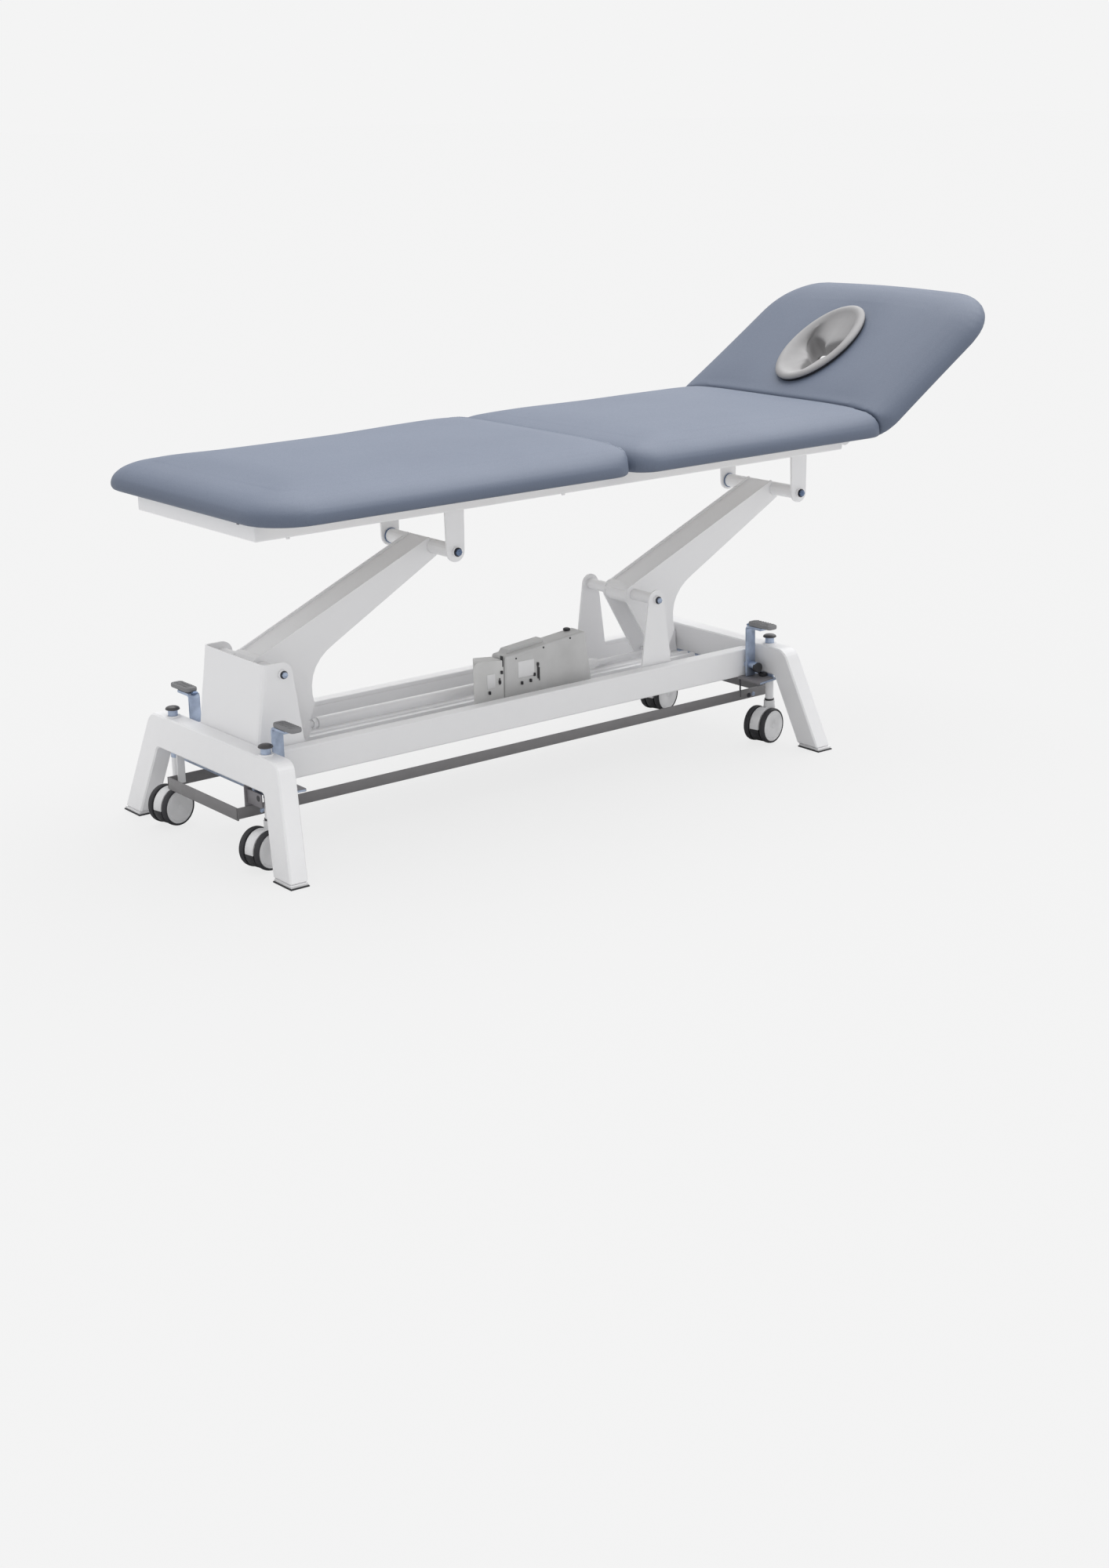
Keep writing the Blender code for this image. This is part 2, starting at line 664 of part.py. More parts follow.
def round_ended_plate(pivot, radius, feet, base):
    """An outline that stands on a base line between two feet and ends round the pivot."""
    top = pivot[1] + math.copysign(radius, pivot[1] - base)
    mirror = math.copysign(1, pivot[1] - base)

    def corner(foot):
        return tangent_corner((pivot[0], mirror * pivot[1]), radius,
                              (foot, mirror * base), mirror * top)

    left, right = feet
    return rounded([(left, base, 0), (corner(left), top, radius),
                    (corner(right), top, radius), (right, base, 0)])


def build_head_tower(near, across):
    """One of the two tapering plates that hold the head pivot."""
    pivot = (HEAD_PIVOT_X, LOWER_PIVOT_Z)
    outline = round_ended_plate(pivot, HEAD_TOWER_RADIUS, HEAD_TOWER_FOOT, TOWER_BOTTOM)
    hole = arc(pivot, BOLT_BORE, 0, 360, ROUND_STEPS)[:-1]
    middle = across * (TOWER_HALF - TOWER_SHEET / 2)
    mesh = plate([outline, hole], TOWER_SHEET, "XZ", middle)
    smooth(add_piece("tower_head_" + near, mesh, WHITE_PAINT))


def pivot_bolt(name, centre, radius, half_length, outer_face, finish):
    """A cross shaft with its bolt heads, turned about the Y axis through the centre."""
    seat = outer_face + CLEARANCE
    half = [
        (0, seat + BOLT_HEAD_HEIGHT),
        (BOLT_HEAD_RADIUS, seat + BOLT_HEAD_HEIGHT),
        (BOLT_HEAD_RADIUS, seat),
        (BOLT_RADIUS, seat),
        (BOLT_RADIUS, half_length),
        (radius, half_length),
    ]
    profile = half + [(reach, -height) for reach, height in reversed(half)]
    frame = Matrix.Translation(centre) @ AXIS_TURNS["Y"]
    smooth(add_turned(name, profile, frame, finish, BOLT_STEPS + 4))


def arm_outline():
    """The bell crank's side plate in its own axes: X along the arm, Z across it."""
    tip = Vector(CRANK_PIN)
    curve = []
    for step in range(ARM_CURVE_STEPS + 1):
        share = step / ARM_CURVE_STEPS
        near = Vector(ARM_CURVE_START).lerp(Vector(ARM_CURVE_HANDLE), share)
        far = Vector(ARM_CURVE_HANDLE).lerp(Vector(ARM_CURVE_END), share)
        curve.append(near.lerp(far, share))
    outline = [Vector((ARM_LENGTH, ARM_TOP)), Vector((ARM_LENGTH, -ARM_TIP_DEPTH)),
               Vector(ARM_ELBOW)]
    outline += curve
    outline += arc(tip, CRANK_TIP_RADIUS, 20, -160, 10)
    outline += arc((0, 0), ARM_HEEL_RADIUS, 185, 119)
    return outline


def build_arm(end, pivot_x):
    """A bell crank: a channel of two plates and a web, its boss, crank and crank pin."""
    frame = Matrix.Translation((pivot_x, 0, LOWER_PIVOT_Z)) @ Matrix.Rotation(-ARM_ANGLE, 4, "Y")
    mesh = plate([arm_outline()], ARM_HALF_WIDTH * 2, "XZ", 0)
    piece = add_piece("arm_" + end, mesh, WHITE_PAINT, frame)
    inside = ARM_HALF_WIDTH - ARM_PLATE
    under = ARM_TOP - ARM_LIP - ARM_WEB
    reach = ARM_LENGTH + OVERRUN
    depth = CRANK_PIN[1] - CRANK_TIP_RADIUS - OVERRUN
    heel = -ARM_HEEL_RADIUS - OVERRUN
    cut(piece, box((heel, -inside, depth), (reach, inside, under)), frame)
    cut(piece, box((heel, -inside, ARM_TOP - ARM_LIP), (reach, inside, ARM_TOP + OVERRUN)), frame)
    half = ARM_HALF_WIDTH + BOSS_PROUD
    join(piece, rod((0, -half, 0), half * 2, BOSS_RADIUS, "Y"), frame)
    cut(piece, rod((0, -half - OVERRUN, 0), (half + OVERRUN) * 2,
                   LOWER_SHAFT_RADIUS + CLEARANCE, "Y"), frame)
    pin = (CRANK_PIN[0], -ARM_HALF_WIDTH - CRANK_BOLT_HEIGHT, CRANK_PIN[1])
    heads = []
    for start in (pin[1], inside):
        heads.append(rod((pin[0], start, pin[2]), CRANK_BOLT_HEIGHT + ARM_PLATE,
                         CRANK_BOLT_HEAD, "Y", BOLT_STEPS))
    for head in heads:
        join(piece, head, frame)
    join(piece, rod((pin[0], -inside - ARM_PLATE / 2, pin[2]), inside * 2 + ARM_PLATE,
                    BOLT_RADIUS, "Y", BOLT_STEPS), frame)
    seat = UPPER_SHAFT_RADIUS + CLEARANCE
    cut(piece, rod((ARM_LENGTH, -half, 0), half * 2, seat, "Y"), frame)
    smooth(piece)


def build_tie_rod():
    """The tube that makes both cranks move together, with a threaded eye at each end."""
    offset = Matrix.Rotation(ARM_ANGLE, 2) @ Vector(CRANK_PIN)
    foot_pin = FOOT_PIVOT_X + offset.x
    head_pin = HEAD_PIVOT_X + offset.x
    height = LOWER_PIVOT_Z + offset.y
    start = foot_pin + TIE_ROD_END_GAP
    end = head_pin - TIE_ROD_HEAD_GAP
    tube = add_piece("tie_rod", rod((start, 0, height), end - start, TIE_ROD_RADIUS, "X"),
                     WHITE_PAINT)
    bore = ROD_SHANK_RADIUS + CLEARANCE
    depth = ROD_SHANK_GRIP + CLEARANCE
    cut(tube, rod((start - OVERRUN, 0, height), depth + OVERRUN, bore, "X"))
    cut(tube, rod((end - depth, 0, height), depth + OVERRUN, bore, "X"))
    smooth(tube)
    for name, pin, towards, gap, tail in (("foot", foot_pin, 1, TIE_ROD_END_GAP, 0),
                                          ("head", head_pin, -1, TIE_ROD_HEAD_GAP, ROD_TAIL)):
        inner = pin + towards * (gap + ROD_SHANK_GRIP)
        outer = pin - towards * tail
        eye = add_piece("rod_end_" + name,
                        rod((pin, -ROD_EYE_WIDTH / 2, height), ROD_EYE_WIDTH, ROD_EYE_RADIUS, "Y"),
                        ZINC_STEEL)
        join(eye, rod((min(inner, outer), 0, height), abs(inner - outer), ROD_SHANK_RADIUS, "X",
                      BOLT_STEPS))
        nut = pin + towards * (gap - CLEARANCE) - (ROD_NUT_WIDTH if towards > 0 else 0)
        join(eye, rod((nut, 0, height), ROD_NUT_WIDTH, ROD_NUT_RADIUS, "X", 6))
        cut(eye, rod((pin, -ROD_EYE_WIDTH, height), ROD_EYE_WIDTH * 2,
                     BOLT_RADIUS + RUNNING_GAP, "Y", BOLT_STEPS + 4))


def build_top_frame():
    """The welded rectangle under the sections, with its hinge leaves and head hinge ears."""
    top = TOP_BOTTOM_Z + TOP_TUBE
    inner = TOP_HALF_WIDTH - TOP_TUBE
    members = [TOP_FOOT_X, FOOT_PIVOT_X + ARM_REACH - TOP_TUBE / 2, SEAM_X - TOP_TUBE / 2,
               TOP_HEAD_X - TOP_TUBE]
    mesh = box((TOP_FOOT_X, -TOP_HALF_WIDTH, TOP_BOTTOM_Z), (TOP_HEAD_X, TOP_HALF_WIDTH, top))
    piece = add_piece("top_frame", mesh, WHITE_PAINT)
    soften(piece, TOP_EDGE)
    for left, right in zip(members, members[1:]):
        cut(piece, box((left + TOP_TUBE, -inner, TOP_BOTTOM_Z - OVERRUN),
                       (right, inner, top + OVERRUN)))
    leaf = SEAT_FACE - CLEARANCE - LEAF_SHEET
    leaf_top = LEG_HINGE_Z - (KNUCKLE_RADIUS + HINGE_PIN_RADIUS) / 2
    third = LEAF_WIDTH / 3
    for _, across in SIDES:
        middle = across * LEAF_PLACE
        join(piece, box((leaf, middle - LEAF_WIDTH / 2 + LEAF_SHEET, top - TOP_TUBE / 2),
                        (leaf + LEAF_SHEET, middle + LEAF_WIDTH / 2 - LEAF_SHEET, leaf_top)))
        for start in (middle - LEAF_WIDTH / 2, middle + third / 2):
            join(piece, rod((LEG_HINGE_X, start, LEG_HINGE_Z), third, KNUCKLE_RADIUS, "Y",
                            BOLT_STEPS))
        gap = third / 2 + RUNNING_GAP
        reach = KNUCKLE_RADIUS + RUNNING_GAP
        cut(piece, box((LEG_HINGE_X - reach, middle - gap, LEG_HINGE_Z - reach),
                       (LEG_HINGE_X + reach, middle + gap, LEG_HINGE_Z + reach)))
        cut(piece, rod((LEG_HINGE_X, middle - LEAF_WIDTH, LEG_HINGE_Z), LEAF_WIDTH * 2,
                       HINGE_PIN_RADIUS + CLEARANCE, "Y", BOLT_STEPS))
        ear = rounded([(TOP_HEAD_X - EAR_ROOT, HEAD_HINGE_Z - EAR_RADIUS, 0),
                       (HEAD_HINGE_X + EAR_RADIUS, HEAD_HINGE_Z - EAR_RADIUS, EAR_RADIUS),
                       (HEAD_HINGE_X + EAR_RADIUS, HEAD_HINGE_Z + EAR_RADIUS, EAR_RADIUS),
                       (TOP_HEAD_X - EAR_ROOT, HEAD_HINGE_Z + EAR_RADIUS, 0)])
        join(piece, plate([ear], EAR_SHEET, "XZ", across * EAR_PLACE))
        start = across * EAR_PLACE - EAR_SHEET
        cut(piece, rod((HEAD_HINGE_X, start, HEAD_HINGE_Z), EAR_SHEET * 2, BOLT_BORE, "Y"))
    smooth(piece)


def build_bracket(end, pivot_x, near, across):
    """A plate hanging from the top frame to hold one end of an upper shaft."""
    pivot = (pivot_x + ARM_REACH, LOWER_PIVOT_Z + ARM_RISE)
    feet = (pivot[0] - BRACKET_HALF_WIDTH, pivot[0] + BRACKET_HALF_WIDTH)
    outline = round_ended_plate(pivot, BRACKET_RADIUS, feet, TOP_BOTTOM_Z - CLEARANCE)
    hole = arc(pivot, BOLT_RADIUS + RUNNING_GAP, 0, 360, ROUND_STEPS)[:-1]
    middle = across * (BRACKET_INNER + BRACKET_SHEET / 2)
    mesh = plate([outline, hole], BRACKET_SHEET, "XZ", middle)
    smooth(add_piece(f"lift_bracket_{end}_{near}", mesh, WHITE_PAINT))


def cushion_ring(start, end, radii, inset, bulge):
    """One ring of a cushion's cage: a rectangle with a radius at each end's corners."""
    half = CUSHION_HALF_WIDTH - inset
    low, high = start + inset, end - inset
    places = ((high, half, radii[1], 0), (low, half, radii[0], 90),
              (low, -half, radii[0], 180), (high, -half, radii[1], 270))
    corners = []
    for x, y, radius, first in places:
        size = max(radius - inset, radius / 4)
        centre = (x - math.copysign(size, x - (low + high) / 2), y - math.copysign(size, y))
        corners.append(arc(centre, size, first, first + 90, CUSHION_ARC_POINTS - 1))
    ring = []
    for index, corner in enumerate(corners):
        ring += corner
        following = corners[(index + 1) % len(corners)][0]
        for step in range(1, CUSHION_SIDE_POINTS + 1):
            ring.append(corner[-1].lerp(following, step / (CUSHION_SIDE_POINTS + 1)))
    for point in ring:
        if point.x > high - max(radii[1] - inset, radii[1] / 4):
            point.x += bulge * (1 - (point.y / CUSHION_HALF_WIDTH) ** 2) - bulge / 2
    return ring


def add_cushion(name, frame, bottom, start, end, radii, bulge=0.0):
    """A padded section: a coarse cage of rings, subdivided, with crown and drawn-in sides."""
    bm = bmesh.new()
    rings = []
    for share, inset in zip(CUSHION_HEIGHT_SHARES, CUSHION_INSETS):
        height = bottom + CUSHION_THICKNESS * share
        plan = cushion_ring(start, end, radii, inset, bulge)
        rings.append([bm.verts.new((point.x, point.y, height)) for point in plan])
    count = len(rings[0])
    for lower, upper in zip(rings, rings[1:]):
        for index in range(count):
            after = (index + 1) % count
            bm.faces.new((lower[index], lower[after], upper[after], upper[index]))
    bm.faces.new(rings[-1])
    bm.faces.new(rings[0][::-1])
    piece = add_piece(name, to_mesh(bm), BLUE_HIDE, frame)
    rounding = piece.modifiers.new("rounding", "SUBSURF")
    rounding.levels = 1
    rounding.render_levels = 1
    return piece


def board_outline(start, end):
    half = CUSHION_HALF_WIDTH - BOARD_INSET
    return rounded([(start, -half, BOARD_CORNER), (end, -half, BOARD_CORNER),
                    (end, half, BOARD_CORNER), (start, half, BOARD_CORNER)], 3)


def recess_board(piece, frame, bottom, start, end):
    """Cut the pocket that the plywood board fills in a cushion's underside."""
    half = CUSHION_HALF_WIDTH - BOARD_INSET + CLEARANCE
    top = bottom + BOARD_THICKNESS + CLEARANCE
    cut(piece, box((start - CLEARANCE, -half, bottom - OVERRUN), (end + CLEARANCE, half, top)),
        frame)


def crease_cutter(towards):
    """A wedge beyond a section's leaning end face, in axes with the hinge at the origin."""
    reach = CUSHION_THICKNESS * 3
    lean = Matrix.Rotation(math.radians(towards * CREASE_LEAN), 4, "Y")
    near, far = (-reach, 0) if towards > 0 else (0, reach)
    return box((near, -CUSHION_HALF_WIDTH * 2, -reach), (far, CUSHION_HALF_WIDTH * 2, reach)), lean


def build_leg_section():
    """The long foot-end section: board, cushion and the leaves that hinge it at the seam."""
    start = LEG_CUSHION_FOOT + BOARD_INSET
    base = BOARD_BOTTOM
    mesh = plate([board_outline(start, LEG_FACE - LEAF_SHEET)], BOARD_THICKNESS, "XY",
                 base + BOARD_THICKNESS / 2)
    board = add_piece("leg_board", mesh, BIRCH_PLY)
    leaf = LEG_FACE + CLEARANCE
    third = LEAF_WIDTH / 3
    low_top = LEG_HINGE_Z - KNUCKLE_RADIUS - RUNNING_GAP
    high_top = LEG_HINGE_Z + RUNNING_GAP
    for _, across in SIDES:
        middle = across * LEAF_PLACE
        root = (LEG_FACE - LEAF_SHEET * 3, middle - LEAF_WIDTH / 2, base + LEAF_SHEET)
        join(board, box(root, (leaf + LEAF_SHEET / 2, middle + LEAF_WIDTH / 2,
                               base + BOARD_THICKNESS - LEAF_SHEET)))
        join(board, box((leaf, middle - LEAF_WIDTH / 2 + LEAF_SHEET, base),
                        (leaf + LEAF_SHEET, middle + LEAF_WIDTH / 2 - LEAF_SHEET, low_top)))
        join(board, box((leaf, middle - third / 2 + RUNNING_GAP, low_top - LEAF_SHEET),
                        (leaf + LEAF_SHEET, middle + third / 2 - RUNNING_GAP, high_top)))
        join(board, rod((LEG_HINGE_X, middle - third / 2, LEG_HINGE_Z), third,
                        KNUCKLE_RADIUS, "Y", BOLT_STEPS))
        join(board, rod((LEG_HINGE_X, middle - LEAF_WIDTH / 2, LEG_HINGE_Z), LEAF_WIDTH,
                        HINGE_PIN_RADIUS, "Y", BOLT_STEPS))
    piece = add_cushion("leg_cushion", Matrix(), CUSHION_BOTTOM, LEG_CUSHION_FOOT,
                        LEG_FACE + CUSHION_THICKNESS, (LEG_FOOT_CORNER, LEG_SEAM_CORNER))
    reach = CUSHION_HALF_WIDTH * 2
    cut(piece, box((LEG_FACE, -reach, 0), (LEG_FACE + reach, reach, reach * 2)))
    recess_board(piece, Matrix(), base, start, LEG_FACE + OVERRUN)
    smooth(piece)


def build_seat_section():
    """The middle section, screwed to the top frame."""
    start = SEAT_FACE + BOARD_INSET
    end = HEAD_HINGE_X - BOARD_INSET
    mesh = plate([board_outline(start, end)], BOARD_THICKNESS, "XY",
                 BOARD_BOTTOM + BOARD_THICKNESS / 2)
    add_piece("seat_board", mesh, BIRCH_PLY)
    piece = add_cushion("seat_cushion", Matrix(), CUSHION_BOTTOM, SEAT_FACE, HEAD_HINGE_X,
                        (SEAT_CORNER, SEAT_CORNER))
    wedge, lean = crease_cutter(-1)
    cut(piece, wedge, Matrix.Translation((HEAD_HINGE_X, 0, HEAD_HINGE_Z)) @ lean)
    recess_board(piece, Matrix(), BOARD_BOTTOM, start, end)
    smooth(piece)


def face_oval(half_length, half_width, waist=0.0):
    """An oval round the face opening, narrowed towards the brow by the waist share."""
    points = []
    for index in range(FACE_POINTS):
        angle = 2 * math.pi * index / FACE_POINTS
        along = math.cos(angle)
        narrow = 1 - waist * (1 + along) / 2
        points.append((FACE_CENTRE + half_length * along, half_width * narrow * math.sin(angle)))
    return points


def build_face_ring(frame, top, bottom):
    """The moulded ring: a proud lip, a dished bowl and the opening that goes right through."""
    neck = FACE_NECK_INSET
    lip = top + FACE_LIP_GAP
    crest = top + FACE_PROUD
    rise = crest - lip
    sections = [(-neck, lip)]
    sections += [(-neck * across, lip + rise * up) for across, up in FACE_LIP_SHARES]
    bm = bmesh.new()
    rings = []
    for inset, height in sections:
        oval = face_oval(FACE_HALF_LENGTH + inset, FACE_HALF_WIDTH + inset)
        rings.append([bm.verts.new((x, y, height)) for x, y in oval])
    rims = [(grow, crest - FACE_BOWL_DEPTH * down) for grow, down in FACE_BOWL_SHARES]
    for grow, height in rims + [(FACE_FLARE_SHARE, bottom)]:
        oval = face_oval(FACE_HOLE_HALF_LENGTH * grow, FACE_HOLE_HALF_WIDTH * grow,
                         FACE_HOLE_WAIST)
        rings.append([bm.verts.new((x, y, height)) for x, y in oval])
    oval = face_oval(FACE_HALF_LENGTH - neck, FACE_HALF_WIDTH - neck)
    rings.append([bm.verts.new((x, y, bottom)) for x, y in oval])
    for index, ring in enumerate(rings):
        following = rings[(index + 1) % len(rings)]
        for point in range(FACE_POINTS):
            after = (point + 1) % FACE_POINTS
            bm.faces.new((ring[point], ring[after], following[after], following[point]))
    smooth(add_piece("face_ring", to_mesh(bm), GREY_SHELL, frame), 50)


def build_head_section():
    """The tilting head section: steel arms on a pivot, board, cushion and face ring."""
    frame = (Matrix.Translation((HEAD_HINGE_X, 0, HEAD_HINGE_Z))
             @ Matrix.Rotation(math.radians(-HEAD_TILT), 4, "Y"))
    base = BOARD_BOTTOM - HEAD_HINGE_Z
    bottom = CUSHION_BOTTOM - HEAD_HINGE_Z
    half = HEAD_ARM_DEPTH / 2
    arm = rounded([(-half, -half, half), (HEAD_ARM_LENGTH, -half, 0),
                   (HEAD_ARM_LENGTH, half, 0), (-half, half, half)])
    place = EAR_PLACE + EAR_SHEET / 2 + CLEARANCE + HEAD_ARM_SHEET / 2
    piece = add_piece("head_frame", plate([arm], HEAD_ARM_SHEET, "XZ", -place), WHITE_PAINT, frame)
    join(piece, plate([arm], HEAD_ARM_SHEET, "XZ", place), frame)
    join(piece, box((HEAD_ARM_LENGTH - HEAD_CROSS_TUBE, -place, half - HEAD_CROSS_TUBE),
                    (HEAD_ARM_LENGTH, place, half)), frame)
    for _, across in SIDES:
        inner = EAR_PLACE - EAR_SHEET / 2 - CLEARANCE
        start = inner if across > 0 else -place
        join(piece, rod((0, start, 0), place - inner, BOLT_RADIUS, "Y"), frame)
    smooth(piece)
    end = HEAD_LENGTH - BOARD_INSET
    neck_length = FACE_HALF_LENGTH - FACE_NECK_INSET + CLEARANCE
    neck_width = FACE_HALF_WIDTH - FACE_NECK_INSET + CLEARANCE
    hole = face_oval(neck_length, neck_width)
    mesh = plate([board_outline(HEAD_BOARD_START, end), hole], BOARD_THICKNESS, "XY",
                 base + BOARD_THICKNESS / 2)
    add_piece("head_board", mesh, BIRCH_PLY, frame)
    cushion = add_cushion("head_cushion", frame, bottom, 0, HEAD_LENGTH,
                          (HEAD_SEAM_CORNER, HEAD_CORNER), HEAD_END_BULGE)
    wedge, lean = crease_cutter(1)
    cut(cushion, wedge, frame @ lean)
    recess_board(cushion, frame, base, HEAD_BOARD_START, end)
    cut(cushion, plate([hole], CUSHION_THICKNESS * 3, "XY", bottom), frame)
    smooth(cushion)
    build_face_ring(frame, bottom + CUSHION_THICKNESS, base)


def build_castor_lift(end, side):
    """The yoke that lowers two castors together: bar, gussets, stems and their caps."""
    x = side * STEM_X
    mesh = box((x - YOKE_WIDTH / 2, -STEM_Y, YOKE_BOTTOM),
               (x + YOKE_WIDTH / 2, STEM_Y, YOKE_BOTTOM + YOKE_HEIGHT))
    piece = add_piece("castor_lift_" + end, mesh, ZINC_STEEL)
    cap = FRAME_HEIGHT + COLLAR_HEIGHT + CAP_LIFT
    profile = [
        (0, cap + CAP_HEIGHT),
        *[(CAP_RADIUS * reach, cap + CAP_HEIGHT * rise) for reach, rise in CAP_SHARES],
        (STEM_RADIUS, cap),
        (STEM_RADIUS, STEM_FOOT_Z),
        (STEM_PIN_RADIUS, STEM_FOOT_Z),
        (STEM_PIN_RADIUS, STEM_FOOT_Z - STEM_PIN_LENGTH),
        (0, STEM_FOOT_Z - STEM_PIN_LENGTH),
    ]
    for _, across in SIDES:
        y = across * STEM_Y
        tip = x - side * GUSSET_REACH
        gusset = [(x, y - GUSSET_HALF_WIDTH), (x, y + GUSSET_HALF_WIDTH),
                  (tip, y + GUSSET_TIP_HALF), (tip, y - GUSSET_TIP_HALF)]
        join(piece, plate([gusset], GUSSET_SHEET, "XY", GUSSET_BOTTOM + GUSSET_SHEET / 2))
        join_turned(piece, profile, Matrix.Translation((x, y, 0)), BOLT_STEPS + 2)
    smooth(piece)


def build_castor(end, side, near, across):
    """A twin-wheel castor: a hood on the stem's pin and two wheels on one axle."""
    frame = (Matrix.Translation((side * STEM_X, across * STEM_Y, 0))
             @ Matrix.Rotation(math.radians(CASTOR_TURN), 4, "Z"))
    centre = (-CASTOR_TRAIL, AXLE_Z)
    disc = arc(centre, HOOD_RADIUS, 0, 360, HOOD_STEPS)[:-1]
    mesh = plate([disc], HOOD_HALF_WIDTH * 2, "XZ", 0)
    hood = add_piece(f"castor_hood_{end}_{near}", mesh, PALE_SHELL, frame)
    top = STEM_FOOT_Z - CLEARANCE
    foot = AXLE_Z + OVERRUN
    join(hood, rod((0, 0, foot), top - foot, HOOD_BOSS_RADIUS, "Z"), frame)
    cut(hood, rod((centre[0], -WHEEL_RADIUS, centre[1]), WHEEL_RADIUS * 2,
                  AXLE_RADIUS + CLEARANCE, "Y"), frame)
    pin_depth = STEM_PIN_LENGTH + CLEARANCE
    cut(hood, rod((0, 0, top - pin_depth), pin_depth + OVERRUN,
                  STEM_PIN_RADIUS + CLEARANCE, "Z"), frame)
    smooth(hood)
    face = WHEEL_HALF_WIDTH
    half = [
        (0, face - WHEEL_FACE_RECESS),
        (WHEEL_FACE_RADIUS, face - WHEEL_FACE_RECESS),
        (WHEEL_FACE_RADIUS + WHEEL_FACE_RIM, face),
        (WHEEL_RADIUS - WHEEL_SHOULDER_DROP, face),
        (WHEEL_RADIUS, WHEEL_TREAD_HALF),
        (WHEEL_RADIUS - WHEEL_TREAD_FALL, WHEEL_GAP_HALF),
        (AXLE_RADIUS, WHEEL_GAP_HALF),
    ]
    profile = half + [(reach, -height) for reach, height in reversed(half)]
    place = frame @ Matrix.Translation((centre[0], 0, centre[1])) @ AXIS_TURNS["Y"]
    smooth(add_turned(f"castor_wheels_{end}_{near}", profile, place, RUBBER))


def build_pedal(end, side, near, across):
    """A pedal: a bent strip on a hub that turns on the rail's stud, and its rubber pad."""
    x = side * PEDAL_X
    inner = PEDAL_BAR_Y - PEDAL_BAR_SHEET / 2
    outer = PEDAL_BAR_Y + PEDAL_BAR_SHEET / 2
    under = PEDAL_BAR_TOP - PEDAL_BAR_SHEET
    corners = [(inner, PEDAL_BAR_BOTTOM, 0), (outer, PEDAL_BAR_BOTTOM, 0),
               (outer, under, PEDAL_BEND - PEDAL_BAR_SHEET), (outer + PEDAL_TOE, under, 0),
               (outer + PEDAL_TOE, PEDAL_BAR_TOP, 0), (inner, PEDAL_BAR_TOP, PEDAL_BEND)]
    outline = [(across * point.x, point.y) for point in rounded(corners, 4)]
    frame = Matrix.Translation((x, 0, PEDAL_PIVOT_Z))
    mesh = plate([outline], PEDAL_BAR_WIDTH, "YZ", x)
    mesh.transform(frame.inverted())
    piece = add_piece(f"pedal_{end}_{near}", mesh, ZINC_STEEL, frame)
    root = RAIL_INNER + RAIL_WIDTH + RUNNING_GAP

    def along(first, last, radius):
        start = first if across > 0 else -last
        return rod((0, start, 0), last - first, radius, "Y", BOLT_STEPS)

    knob = STUD_END + CLEARANCE
    join(piece, along(root, knob + OVERRUN / 5, PEDAL_HUB_RADIUS), frame)
    join(piece, along(knob - OVERRUN / 5, knob + PEDAL_KNOB_DEPTH, PEDAL_KNOB_RADIUS), frame)
    cut(piece, along(root - OVERRUN, knob, PEDAL_STUD_RADIUS + CLEARANCE), frame)
    smooth(piece)
    first = across * (outer + PAD_START)
    last = across * (outer + PAD_START + PAD_LENGTH)
    low = PEDAL_BAR_TOP - PEDAL_PIVOT_Z + CLEARANCE
    pad = box((-PAD_WIDTH / 2, min(first, last), low),
              (PAD_WIDTH / 2, max(first, last), low + PAD_HEIGHT))
    soften(add_piece(f"pedal_pad_{end}_{near}", pad, DARK_STEEL, frame), PAD_EDGE)


def build_switch_bar():
    """The strip bent into a ring round the base, pressed by foot to start the lift."""
    def ring(inset):
        corner = BAR_CORNER - inset
        half_length = BASE_HALF_LENGTH - BAR_END_INSET - inset
        half_width = BAR_HALF_WIDTH - inset
        return rounded([(-half_length, -half_width, corner), (half_length, -half_width, corner),
                        (half_length, half_width, corner), (-half_length, half_width, corner)])

    mesh = plate([ring(0), ring(BAR_SHEET)], BAR_HEIGHT, "XY", BAR_BOTTOM + BAR_HEIGHT / 2)
    smooth(add_piece("switch_bar", mesh, GREY_PAINT))


def build_hanger(end, side, near, across):
    """A plate under the crossbar that guides the foot-switch bar."""
    outer = BAR_HALF_WIDTH - BAR_SHEET - RUNNING_GAP
    first = across * outer
    last = across * (outer - HANGER_SHEET)
    start = side * (STEM_X + HANGER_SETBACK)
    end_x = start + side * HANGER_WIDTH
    top = FRAME_HEIGHT - CROSSBAR_HEIGHT - CLEARANCE
    mesh = box((min(start, end_x), min(first, last), top - HANGER_DROP),
               (max(start, end_x), max(first, last), top))
    soften(add_piece(f"bar_hanger_{end}_{near}", mesh, GREY_PAINT), TOWER_EDGE, 1)


